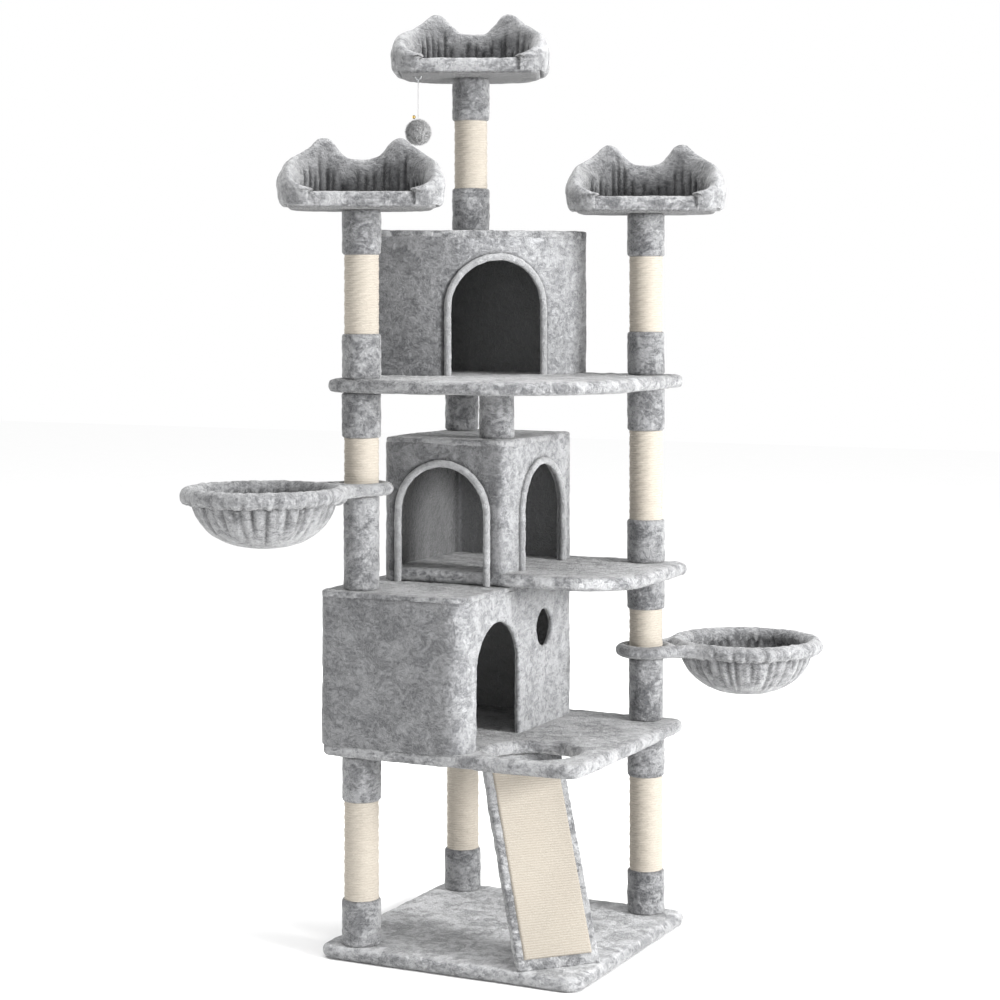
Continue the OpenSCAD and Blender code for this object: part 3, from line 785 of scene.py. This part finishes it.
# the inside faces of a wall have a plain, short lining
def lineInside(piece, inside, liner="liner"):
    piece.data.materials.append(plush[liner])
    for face in piece.data.polygons:
        if inside(face.center, face.normal):
            face.material_index = 1


def boxInside(node, s):
    low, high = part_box(node)
    inset = s["wall"] * 0.62
    def test(c, n):
        inward = n.x * ((low.x + high.x) / 2 - c.x) + n.y * ((low.y + high.y) / 2 - c.y)
        clear = low.x + inset < c.x < high.x - inset and low.y + inset < c.y < high.y - inset
        return clear and inward > -0.01
    return test


def quarterInside(node, s):
    low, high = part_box(node)
    inset = s["wall"] * 0.62
    def test(c, n):
        reach = math.hypot(c.x - low.x, c.y - high.y)
        return c.x > low.x + inset and c.y < high.y - inset and reach < high.x - low.x - inset
    return test


# the ends of a softened wall run on into what it stands on and what lies on it
def sinkEnds(piece, low, high, below, above, band=0.012):
    points = pointsOf(piece)
    points[:, 2] -= below * (1 - smoothstep(points[:, 2], low, low + band))
    points[:, 2] += above * smoothstep(points[:, 2], high - band, high)
    movePoints(piece, points)


# how deep a point lies in the groove beside an arch; across and up are measured from its foot
def archGroove(across, up, width, height, off=0.0125, wide=0.0034):
    half = width / 2
    gap = np.hypot(across, np.maximum(0, up - (height - half))) - half
    return np.exp(-((gap - off) / wide) ** 2) * (up > -0.03)


def plushHouse(wallNode, roofNode, inside, groove, seam, s):
    walls = copyOf(wallNode + "Plush", nodes[wallNode])
    low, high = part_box(wallNode)
    if wallNode == "middle_house_walls":
        hangWalls(walls, low, s["hang"], s["flare"])
    soften(walls, s["voxel"], s["rounds"])
    ruffle(walls, s["swell"], len(wallNode))
    points, normals = pointsOf(walls), normalsOf(walls)
    # painted shade at the foot, under the roof seam, in the arch grooves, on the front and inside the
    # left wall
    foot = np.exp(-((points[:, 2] - low.z) / 0.005) ** 2)
    head = np.exp(-((high.z - points[:, 2]) / 0.004) ** 2)
    facing = smoothstep(-normals[:, 1], 0.2, 0.9)
    dent = groove(points, low, high) if groove else np.zeros(len(points))
    movePoints(walls, points - normals * (0.0016 * dent)[:, None])
    shade = 0.30 * foot + head * (0.15 + (seam - 0.15) * facing) + 0.75 * dent
    innerLeft = smoothstep(normals[:, 0], 0.4, 0.9) * (points[:, 0] < low.x + 0.03)
    frontal = smoothstep(-normals[:, 1], 0.75, 1.0)
    flat = np.maximum(s["frontShade"] * frontal, s["innerShade"] * innerLeft)
    setPaintedShade(walls, np.maximum(shade, flat))
    # painted light on the outer walls facing right and on the strips hanging down
    outside = points[:, 0] > (low.x + high.x) / 2
    hanging = points[:, 2] < low.z - 0.001
    paintedLit = s["sidePaintedLight"] * smoothstep(normals[:, 0], 0.0, 1.0) * outside
    setPaintedLight(walls, np.maximum(paintedLit, s["hangPaintedLight"] * hanging))
    sinkEnds(walls, low.z, high.z, 0.005, 0.004)
    dress(walls, plush["plush"], "root", [wallNode])
    # the lower house's inside gets the lighter lining, painted light
    lineInside(walls, inside(wallNode, s), "paintedLightLiner" if wallNode == "lower_house_walls" else "liner")
    roof = copyOf(roofNode + "Plush", nodes[roofNode])
    soften(roof, s["voxel"], 4)
    ruffle(roof, s["swell"], len(roofNode) + 3)
    low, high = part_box(roofNode)
    points, normals = pointsOf(roof), normalsOf(roof)
    # painted shade on the roof's underside, deeper on the front by the seam depth
    under = smoothstep(low.z + 0.006 - points[:, 2], 0, 0.006)
    setPaintedShade(roof, under * (0.12 + (seam - 0.12) * smoothstep(-normals[:, 1], 0.2, 0.9)))
    sinkEnds(roof, low.z, high.z, 0.004, 0.0, 0.005)
    dress(roof, plush["deckPlush"], "root", [roofNode])


# the front and left walls hang down over the platform's edge
def hangWalls(walls, low, drop, flare):
    for v in walls.data.vertices:
        front = v.co.y < low.y + 0.0145 and v.co.x < 0.0
        left = v.co.x < low.x + 0.0145
        if v.co.z < low.z + 0.001 and (front or left):
            v.co.z = low.z - drop
            v.co.y -= flare if v.co.y < low.y + 0.001 else 0.0
            v.co.x -= flare if v.co.x < low.x + 0.001 else 0.0


def middleGrooves(points, low, high):
    s = pipingSet
    front = archGroove(points[:, 0] - s["doorX"], points[:, 2] - low.z, s["width"], s["height"])
    side = archGroove(points[:, 1] - s["doorY"], points[:, 2] - low.z, s["width"], s["height"])
    return (front * (points[:, 1] < low.y + 0.006)
            + side * (points[:, 0] > high.x - 0.006) * (points[:, 2] > low.z))


def upperGroove(points, low, high):
    s = pipingSet
    reach = high.x - low.x
    turn = np.arctan2(points[:, 1] - high.y, points[:, 0] - low.x) + math.pi / 4
    out = np.hypot(points[:, 1] - high.y, points[:, 0] - low.x)
    dent = archGroove(reach * np.sin(turn), points[:, 2] - low.z, s["upperWidth"], s["upperHeight"])
    return dent * (out > reach - 0.006)


pipingSet = {"radius": 0.0074, "width": 0.200, "doorX": -0.107, "doorY": 0.088, "height": 0.218,
             "upperWidth": 0.208, "upperHeight": 0.248}

plushHouse("lower_house_walls", "lower_house_roof", boxInside, None, 0.75, houseSet)
plushHouse("middle_house_walls", "middle_house_roof", boxInside, middleGrooves, 0.25, houseSet)
plushHouse("upper_house_walls", "upper_house_roof", quarterInside, upperGroove, 0.30, houseSet)
print("houses made")


# piping round the arched doors

# an upright arch as (across, up), from one foot over the head to the other
def archLine(width, height, steps=40):
    half = width / 2
    up = [(-half, z) for z in np.linspace(0, height - half, 14)[:-1]]
    head = [(-half * math.cos(a), height - half + half * math.sin(a))
            for a in np.linspace(0, math.pi, steps)]
    down = [(half, z) for z in np.linspace(height - half, 0, 14)[1:]]
    return up + head + down


def doorPiping(s):
    low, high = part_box("middle_house_walls")
    r = s["radius"]
    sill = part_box("middle_door_piping")[0].z
    drop = low.z - sill
    line = archLine(s["width"] + r, s["height"] + r / 2)
    longer = archLine(s["width"] + r, s["height"] + r / 2 + drop)
    front = [(s["doorX"] + a, low.y - r * 0.2, sill + b) for a, b in longer]
    side = [(high.x + r * 0.2, s["doorY"] + a, low.z + b) for a, b in line]
    parts = []
    for i, path in enumerate((front, side)):
        path = smoothLine(path, 150)
        parts.append(tubeAlong(f"pipingPart{i}", path, r, 16))
    piece = joined("middleDoorPiping", parts)
    ruffle(piece, [(0.0010, 70), (0.0006, 180)], 2.0)
    dress(piece, plush["piping"], "root", ["middle_door_piping"])
    low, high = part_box("upper_house_walls")
    corner = Vector((low.x, high.y, low.z))
    reach = high.x - low.x + r * 0.2
    bent = []
    for a, b in archLine(s["upperWidth"] + r, s["upperHeight"] + r / 2):
        turn = math.radians(-45) + math.asin(a / reach)
        bent.append((corner.x + reach * math.cos(turn), corner.y + reach * math.sin(turn), corner.z + b))
    piece = tubeAlong("upperDoorPiping", smoothLine(bent, 150), r, 16)
    ruffle(piece, [(0.0010, 70), (0.0006, 180)], 5.0)
    dress(piece, plush["piping"], "root", ["upper_door_piping"])


doorPiping(pipingSet)
print("piping made")


# perches: a plush board and a padded rim with two ears

perchSet = {
    "turns": {"left": 29.0, "right": 22.0, "top": 25.0},
    "halfWidth": 0.150, "halfDepth": 0.140, "backRadius": 0.100, "frontRadius": 0.045,
    "boardHeight": 0.033, "lipHalf": 0.113, "stations": 420, "creases": 46, "creaseWidth": 0.0050,
    # height of the rim along its path, from a front end to the middle of the back
    "rimHeights": [(0.0, 0.037), (0.03, 0.045), (0.06, 0.057), (0.095, 0.072), (0.15, 0.088),
                   (0.20, 0.095), (0.254, 0.102), (0.31, 0.113), (0.355, 0.130), (0.385, 0.149),
                   (0.404, 0.1545), (0.423, 0.149), (0.445, 0.128), (0.462, 0.115), (0.48, 0.110),
                   (0.50, 0.109)],
    # section of the rim as (out from the board's edge, share of the height above the board)
    "section": [(-0.020, 0.03), (-0.0240, 0.30), (-0.0205, 0.64), (-0.0115, 0.91), (-0.001, 1.0),
                (0.0085, 0.88), (0.0165, 0.60), (0.0205, 0.28), (0.0190, 0.0)],
    "sectionLow": [(0.0165, 0.014), (0.009, 0.007), (0.0015, 0.012), (0.0010, 0.030), (-0.006, 0.0335)],
}


# random creases along a span, as (place, depth, how far each runs)
def creaseList(count, span):
    gap = span / count
    places = [gap * (i + 0.5 + rng.uniform(-0.32, 0.32)) for i in range(count)]
    return [(p, rng.uniform(0.35, 1.0), rng.uniform(0.35, 1.0)) for p in places]


# how deep a place lies in the creases; runs is how far down each crease the place is
def creaseAt(place, runs, creases, width, span=None):
    total = np.zeros_like(np.asarray(runs, float))
    for p, depth, reach in creases:
        away = place - p
        if span:
            away = (away + span / 2) % span - span / 2
        if abs(away) < 3.5 * width:
            total += depth * math.exp(-(away / width) ** 2) * (1 - smoothstep(runs, reach * 0.55, reach))
    return np.clip(total, 0, 1.2)


# the rim's path round the board: places, outward directions and share of its length
def rimPath(s):
    hw, hd, r, q = s["halfWidth"], s["halfDepth"], s["backRadius"], s["frontRadius"]
    line = [(x, -hd) for x in np.linspace(-s["lipHalf"], -hw + q, 8)]
    line += [(-hw + q - q * math.sin(a), -hd + q - q * math.cos(a))
             for a in np.linspace(0, math.pi / 2, 30)[1:]]
    line += [(-hw, y) for y in np.linspace(-hd + q, hd - r, 50)[1:]]
    line += [(-hw + r - r * math.cos(a), hd - r + r * math.sin(a))
             for a in np.linspace(0, math.pi / 2, 60)[1:]]
    line += [(x, hd) for x in np.linspace(-hw + r, 0, 30)[1:]]
    half = np.array(line)
    other = half[::-1][1:] * (-1, 1)
    whole = np.concatenate([half, other])
    gaps = np.linalg.norm(np.diff(whole, axis=0), axis=1)
    along = np.concatenate([[0], np.cumsum(gaps)])
    even = np.linspace(0, along[-1], s["stations"])
    xy = np.stack([np.interp(even, along, whole[:, i]) for i in range(2)], axis=1)
    tangent = np.gradient(xy, axis=0)
    tangent /= np.linalg.norm(tangent, axis=1)[:, None]
    outward = np.stack([-tangent[:, 1], tangent[:, 0]], axis=1)
    return xy, outward, even / along[-1], along[-1]


def perchRim(name, s):
    xy, outward, share, length = rimPath(s)
    mirror = np.where(share <= 0.5, share, 1 - share)
    marks = smoothLine(s["rimHeights"], 300)
    top = np.interp(mirror, marks[:, 0], marks[:, 1])
    board = s["boardHeight"]
    innerCreases = creaseList(s["creases"], length)
    outerCreases = creaseList(s["creases"] // 2, length)
    rings, hollow = [], []
    for i in range(len(xy)):
        rise = top[i] - board
        full = smoothstep(mirror[i], 0.01, 0.15)
        points = [(o * ((0.30 if o > 0 else 0.55) + (0.70 if o > 0 else 0.45) * full),
                   board + 0.0008 + h * rise) for o, h in s["section"]]
        points += [(o * (0.25 + 0.75 * full) if o > 0 else o, z) for o, z in s["sectionLow"]]
        loop = smoothLine(points, 84, closed=True)
        up = np.clip((loop[:, 1] - board) / max(rise, 1e-4), 0, 1)
        inside = smoothstep(-loop[:, 0], 0.004, 0.016)
        outside = smoothstep(loop[:, 0], 0.006, 0.014)
        deep = creaseAt(share[i] * length, up * 1.05, innerCreases, s["creaseWidth"]) * inside
        wrinkle = creaseAt(share[i] * length, up * 1.6, outerCreases, s["creaseWidth"]) * outside
        out = loop[:, 0] + deep * 0.0062 * (0.4 + 0.6 * full) - wrinkle * 0.0026
        rings.append(np.stack([xy[i, 0] + outward[i, 0] * out, xy[i, 1] + outward[i, 1] * out,
                               loop[:, 1]], axis=1))
        # painted shade in the creases, at the rim's foot and over its inner face
        foot = np.exp(-((loop[:, 1] - board) / 0.009) ** 2) * inside
        hollow.append(0.95 * deep + 0.50 * wrinkle + 0.55 * foot + 0.58 * inside * (1 - 0.35 * up))
    # the front ends close over in a rounded roll
    rings, hollow = roundEnds(rings, hollow)
    piece = skinRings(name, rings)
    setPaintedShade(piece, np.concatenate(hollow))
    return piece


def roundEnds(rings, hollow, depth=0.005, steps=5):
    def cap(ring, nextRing, shade):
        ring = np.asarray(ring)
        middle = ring.mean(0)
        ahead = (middle - np.asarray(nextRing).mean(0))
        ahead /= np.linalg.norm(ahead)
        made = []
        for k in range(1, steps + 1):
            a = math.pi / 2 * k / (steps + 0.6)
            made.append(middle + (ring - middle) * math.cos(a) + ahead * depth * math.sin(a))
        # painted shade on the rounded end caps
        return made, [shade * 0.8 + 0.2] * steps
    first, firstShade = cap(rings[0], rings[1], hollow[0])
    last, lastShade = cap(rings[-1], rings[-2], hollow[-1])
    return first[::-1] + list(rings) + last, firstShade + list(hollow) + lastShade


def perchBoard(name, s):
    low = (-s["halfWidth"], -s["halfDepth"])
    high = (s["halfWidth"], s["halfDepth"])
    radii = (s["frontRadius"], s["frontRadius"], s["backRadius"], s["backRadius"])
    piece = prism(name, roundedOutline(low, high, radii, 0.004), 0.0, s["boardHeight"])
    edge = piece.modifiers.new("edge", "BEVEL")
    edge.width = 0.009
    edge.segments = 4
    edge.limit_method = "ANGLE"
    edge.angle_limit = math.radians(50)
    settle(piece)
    soften(piece, 0.0036, 3)
    return piece


def makePerch(side, seed, s):
    boardNode, rimNode = side + "_perch_board", side + "_perch_rim"
    centre = perchCentre(boardNode)
    board = perchBoard(side + "PerchBoard", s)
    rim = perchRim(side + "PerchRim", s)
    place = Matrix.Translation(centre) @ Matrix.Rotation(math.radians(s["turns"][side]), 4, "Z")
    for piece in (board, rim):
        piece.data.transform(place)
        piece.data.update()
    ruffle(board, [(0.0012, 36), (0.0007, 110)], seed)
    points = pointsOf(board)
    points[:, 2] = np.maximum(points[:, 2], centre[2])
    # painted shade on the board's underside
    setPaintedShade(board, 1.0 * smoothstep(centre[2] + 0.006 - points[:, 2], 0, 0.005))
    movePoints(board, points)
    ruffle(rim, [(0.0020, 19), (0.0014, 48), (0.0007, 130)], seed + 4)
    dress(board, plush["deckPlush"], "root", [boardNode])
    dress(rim, plush["bedPlush"], "root", [rimNode])


# the perch stands on its post, so its centre is the cuffs' centre
def perchCentre(boardNode):
    low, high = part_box(boardNode.replace("_board", "_cuffs"))
    return Vector(((low.x + high.x) / 2, (low.y + high.y) / 2, high.z))


for i, side in enumerate(("left", "right", "top")):
    makePerch(side, 3.7 * i + 1.1, perchSet)
print("perches made")


# hammocks: gathered rim, pleated bowl and the sleeve round the post

hammockSet = {
    "ring": 0.150, "rim": 0.0165, "reach": 0.235, "loop": 0.052, "loopPad": 0.0135, "depth": 0.105,
    "cloth": 0.004, "voxel": 0.0032, "pleats": 40, "pleatWidth": 0.036,
    "left": {"post": "front_left_middle_sisal", "z": 0.956, "aim": 244.0},
    "right": {"post": "back_right_lower_sisal", "z": 0.589, "aim": 45.0},
}


def hammockBowl(name, s):
    steps, rows = 300, 46
    ring, depth = s["ring"] - s["rim"] * 0.35, s["depth"]
    creases = creaseList(s["pleats"], 2 * math.pi)
    broad = creaseList(11, 2 * math.pi)
    rings, hollow = [], []
    t = np.linspace(0.0, 1.0, rows)
    fade = np.cos(t * math.pi / 2) ** 0.6 * smoothstep(t, 0.0, 0.05)
    for a in np.linspace(0, 2 * math.pi, steps, endpoint=False):
        deep = creaseAt(a, t * 1.15, creases, s["pleatWidth"], 2 * math.pi)
        wide = creaseAt(a, t, broad, s["pleatWidth"] * 3, 2 * math.pi)
        r = ring * np.cos(t * math.pi / 2) ** 0.86
        z = -depth * np.sin(t * math.pi / 2) ** 1.04
        push = fade * (0.0018 - 0.0068 * deep - 0.0030 * wide)
        outer = np.stack([r + push * 0.9, z - push * 0.4], axis=1)
        inner = np.stack([np.maximum(r - s["cloth"] + push * 0.9, 0),
                          np.minimum(z + s["cloth"] * np.sin(t * math.pi / 2) - push * 0.4, 0)], axis=1)
        keep = slice(0, rows - 1)
        line = np.concatenate([outer[keep], inner[keep][::-1]])
        rings.append(np.stack([line[:, 0] * math.cos(a), line[:, 0] * math.sin(a), line[:, 1]], axis=1))
        # painted shade: outside in the pleats and just below the rim, inside all over, most where it
        # lies smooth
        crease = (deep * fade)[keep]
        ridge = 0.50 * np.exp(-(t[keep] / 0.07) ** 2)
        lit = np.clip(1.0 - deep - wide, 0, 1)[keep] * fade[keep]
        hollow.append(np.concatenate([0.85 * crease + ridge + 0.20 * wide[keep],
                                      (0.30 + 0.65 * lit * (t[keep] < 0.8))[::-1]]))
    piece = bowlSkin(name, np.array(rings), rows - 1)
    setPaintedShade(piece, np.concatenate([np.concatenate(hollow), [0.0, 0.4]]))
    return piece


# rings run from the rim down outside and back up inside; both sides close at the bottom
def bowlSkin(name, rings, rows):
    count, around = rings.shape[:2]
    points = list(rings.reshape(-1, 3))
    outerTip = rings[:, rows - 1].mean(0) - (0, 0, 0.0003)
    innerTip = rings[:, rows].mean(0) - (0, 0, 0.0002)
    points += [outerTip, innerTip]
    faces = []
    for i in range(count):
        k = (i + 1) % count
        for j in range(around):
            m = (j + 1) % around
            if j == rows - 1:
                continue
            faces.append((i * around + j, k * around + j, k * around + m, i * around + m))
        faces.append((i * around + rows - 1, k * around + rows - 1, count * around))
        faces.append((k * around + rows, i * around + rows, count * around + 1))
    piece = newMesh(name, points, faces)
    fixNormals(piece)
    return piece


def hammockRim(name, s, seed):
    turn = np.linspace(0, 2 * math.pi, 160, endpoint=False)
    circle = [(s["reach"] + s["ring"] * math.cos(a), s["ring"] * math.sin(a), 0) for a in turn]
    loop = [(s["loop"] * math.cos(a), s["loop"] * math.sin(a), 0) for a in turn]
    parts = [tubeAlong(name + "Ring", circle, s["rim"], 20, closed=True),
             tubeAlong(name + "Loop", loop, s["loopPad"], 20, closed=True)]
    for sign in (-1, 1):
        end = math.radians(180 - 46)
        strand = smoothLine([
            (s["loop"] * 0.12, sign * s["loop"] * 0.99, 0),
            (s["loop"] * 0.75, sign * s["loop"] * 0.93, 0),
            (s["loop"] * 1.45, sign * s["loop"] * 1.10, 0),
            (s["reach"] - s["ring"] * 0.90, sign * s["ring"] * 0.50, 0),
            (s["reach"] + s["ring"] * math.cos(end), sign * s["ring"] * math.sin(end), 0)], 30)
        parts.append(tubeAlong(f"{name}Strand{sign}", strand, np.linspace(0.0128, 0.0160, 30), 16))
    piece = joined(name, parts)
    soften(piece, s["voxel"], 6)
    points, normals = pointsOf(piece), normalsOf(piece)
    angle = np.arctan2(points[:, 1], points[:, 0] - s["reach"])
    onRing = smoothstep(points[:, 0], 0.075, 0.12)
    waves = ((31, 1.0, 1.0), (47, 0.7, 2.0), (73, 0.5, 0.0))
    fold = sum(w * np.sin(k * angle + c * seed) for k, w, c in waves) / 2.2
    low = smoothstep(-points[:, 2], -0.006, 0.012)
    movePoints(piece, points + normals * (fold * onRing * (0.0009 + 0.0018 * low))[:, None])
    # painted shade in the folds of the ring and on its underside
    setPaintedShade(piece, np.clip(-fold, 0, 1) * onRing * (0.25 + 0.45 * low)
              + 0.40 * smoothstep(-points[:, 2], 0.008, 0.017))
    return piece


def makeHammock(side, seed, s):
    place = s[side]
    low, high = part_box(place["post"])
    centre = Vector(((low.x + high.x) / 2, (low.y + high.y) / 2, place["z"]))
    turned = Matrix.Translation(centre) @ Matrix.Rotation(math.radians(place["aim"]), 4, "Z")
    bowl = hammockBowl(side + "HammockBowl", s)
    bowl.data.transform(Matrix.Translation((s["reach"], 0, 0)))
    rim = hammockRim(side + "HammockRim", s, seed)
    for piece in (bowl, rim):
        piece.data.transform(turned)
        piece.data.update()
    ruffle(bowl, [(0.0012, 26), (0.0006, 90)], seed)
    ruffle(rim, [(0.0012, 34), (0.0007, 110)], seed + 2)
    body = side + "_hammock"
    dress(rim, plush["bedPlush"], body, [body + "_sling"])
    dress(bowl, plush["bedPlush"], body, [body + "_sling"])


for i, side in enumerate(("left", "right")):
    makeHammock(side, 2.3 * i + 0.6, hammockSet)
print("hammocks made")


# ramp: plush board with a ribbed sisal mat

rampSet = {"voxel": 0.0040, "turn": 48.0, "foot": (0.222, -0.222), "lean": 0.190, "rib": 0.0050,
           "matHalf": 0.073, "matThick": 0.004, "matEnd": 0.022}


def makeRamp(s):
    board = copyOf("rampPlush", nodes["ramp_board"])
    soften(board, s["voxel"], 5)
    low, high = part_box("ramp_board")
    ruffle(board, [(0.0015, 34), (0.0009, 100)], 8.0)
    points = pointsOf(board)
    points[:, 2] = np.clip(points[:, 2], low.z, high.z)
    movePoints(board, points)
    rise = high.z - low.z
    tilt = math.atan2(s["lean"], rise)
    length = math.hypot(s["lean"], rise)
    place = (Matrix.Translation((s["foot"][0], s["foot"][1], low.z))
             @ Matrix.Rotation(math.radians(s["turn"]), 4, "Z") @ Matrix.Rotation(-tilt, 4, "X"))
    dress(board, plush["deckPlush"], "root", ["ramp_board"])
    mat = rampMat(s, s["matEnd"], length - s["matEnd"])
    mat.data.transform(place)
    mat.data.update()
    dress(mat, matSisal, "root", ["ramp_pad"])


# rows of cord woven side by side across the ramp
def rampMat(s, z0, z1):
    rows = int((z1 - z0) / s["rib"] * 6)
    across = np.linspace(-s["matHalf"], s["matHalf"], 60)
    points, hollow = [], []
    for i in range(rows + 1):
        z = z0 + (z1 - z0) * i / rows
        rib = abs(math.sin(math.pi * (z - z0) / s["rib"]))
        for x in across:
            edge = min(1.0, (s["matHalf"] - abs(x)) / 0.004)
            end = min(1.0, min(z - z0, z1 - z) / 0.004)
            body = math.sqrt(max(0.0, 1 - (1 - edge) ** 2)) * math.sqrt(max(0.0, 1 - (1 - end) ** 2))
            knot = 0.0003 * math.sin(x * 900 + (math.pi if int((z - z0) / s["rib"]) % 2 else 0))
            depth = body * (s["matThick"] - 0.0009 + 0.0009 * rib + knot * rib)
            points.append((x, -depth - 0.0001, z))
            # painted shade between the ribs and toward the mat's edges
            hollow.append(0.9 * (1 - rib) ** 2 * body + 0.3 * (1 - body))
    n = len(across)
    faces = [(i * n + j, i * n + j + 1, (i + 1) * n + j + 1, (i + 1) * n + j)
             for i in range(rows) for j in range(n - 1)]
    border = ([j for j in range(n)] + [i * n + n - 1 for i in range(1, rows + 1)]
              + [rows * n + j for j in range(n - 2, -1, -1)] + [i * n for i in range(rows - 1, 0, -1)])
    start = len(points)
    for index in border:
        x, _, z = points[index]
        points.append((x, 0.003, z))
        # painted shade on the mat's sides
        hollow.append(0.5)
    m = len(border)
    faces += [(border[(i + 1) % m], border[i], start + i, start + (i + 1) % m) for i in range(m)]
    faces.append(tuple(range(start, start + m)))
    mat = newMesh("rampMat", points, faces)
    fixNormals(mat)
    setPaintedShade(mat, np.array(hollow))
    return mat


makeRamp(rampSet)
print("ramp made")


# toy: string, fluffy ball and bell

toySet = {"strands": 2600, "core": 0.0235, "reach": 0.0305, "stringRadius": 0.001,
          # the string's route down from its top, as in the model's source
          "route": [(0, 0, -0.005 * i) for i in range(16)]}


def fluffyBall(centre, s):
    work = bmesh.new()
    bmesh.ops.create_icosphere(work, subdivisions=4, radius=s["core"])
    points = [tuple(v.co) for v in work.verts]
    faces = [tuple(v.index for v in f.verts) for f in work.faces]
    work.free()
    # painted shade deep in the fluff, at the core and the strand roots
    hollow = [0.30] * len(points)
    golden = math.pi * (3 - math.sqrt(5))
    for i in range(s["strands"]):
        z = 1 - 2 * (i + 0.5) / s["strands"]
        r = math.sqrt(1 - z * z)
        direction = Vector((r * math.cos(golden * i), r * math.sin(golden * i), z))
        lean = Vector(rng.normal(0, 0.22, 3))
        side = direction.orthogonal().normalized()
        other = direction.cross(side)
        reach = s["reach"] * rng.uniform(0.90, 1.0)
        width = rng.uniform(0.00055, 0.00095)
        root = direction * s["core"] * 0.96
        middle = (direction + lean * 0.5).normalized() * (s["core"] + reach) / 2
        tip = (direction + lean).normalized() * reach
        start = len(points)
        for place, thick in ((root, width), (middle, width * 0.8)):
            for k in range(3):
                a = 2 * math.pi * k / 3
                points.append(tuple(place + thick * (math.cos(a) * side + math.sin(a) * other)))
        points.append(tuple(tip))
        hollow += [0.50, 0.50, 0.50, 0.10, 0.10, 0.10, 0.0]
        faces.append((start + 2, start + 1, start))
        for k in range(3):
            n = (k + 1) % 3
            faces.append((start + k, start + n, start + 3 + n, start + 3 + k))
            faces.append((start + 3 + k, start + 3 + n, start + 6))
    ball = newMesh("toyBallFluff", [Vector(p) + centre for p in points], faces)
    setPaintedShade(ball, np.array(hollow))
    return ball


# a round bell with a belt
def smallBell(low, high):
    centre = (low + high) / 2
    radius = min(high.z - low.z, high.x - low.x) / 2
    profile = []
    for a in np.linspace(-90, 90, 41):
        r = radius * (1.0 + (0.05 if abs(a) < 7 else 0.0))
        profile.append((max(r * math.cos(math.radians(a)), 0.00004), r * math.sin(math.radians(a))))
    inner = [(0.82 * r, 0.82 * z) for r, z in reversed(profile)]
    bell = lathe("toyBellBrass", centre, profile + inner, 48)
    return bell


def makeToy(s):
    low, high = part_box("toy_ball")
    centre = (low + high) / 2
    dress(fluffyBall(centre, s), plush["ballPlush"], "toy", ["toy_ball"])
    low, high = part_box("toy_bell")
    bell = dress(smallBell(low, high), brass, "toy", ["toy_bell"])
    low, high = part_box("toy_string")
    top = Vector(((low.x + high.x) / 2, (low.y + high.y) / 2, high.z))
    path = [top + Vector(p) for p in s["route"]]
    line = smoothLine(path, 90)
    rings, turns = [], 26
    for i, p in enumerate(line):
        spin = 2 * math.pi * turns * i / (len(line) - 1)
        ring = []
        for k in range(12):
            a = 2 * math.pi * k / 12
            r = s["stringRadius"] * (0.90 + 0.10 * math.cos(3 * (a + spin / 3)))
            ring.append((p[0] + r * math.cos(a), p[1] + r * math.sin(a), p[2]))
        rings.append(ring)
    string = skinRings("toyStringTwist", rings)
    dress(string, stringPaint(), "toy", ["toy_string"])


makeToy(toySet)
print("toy made")
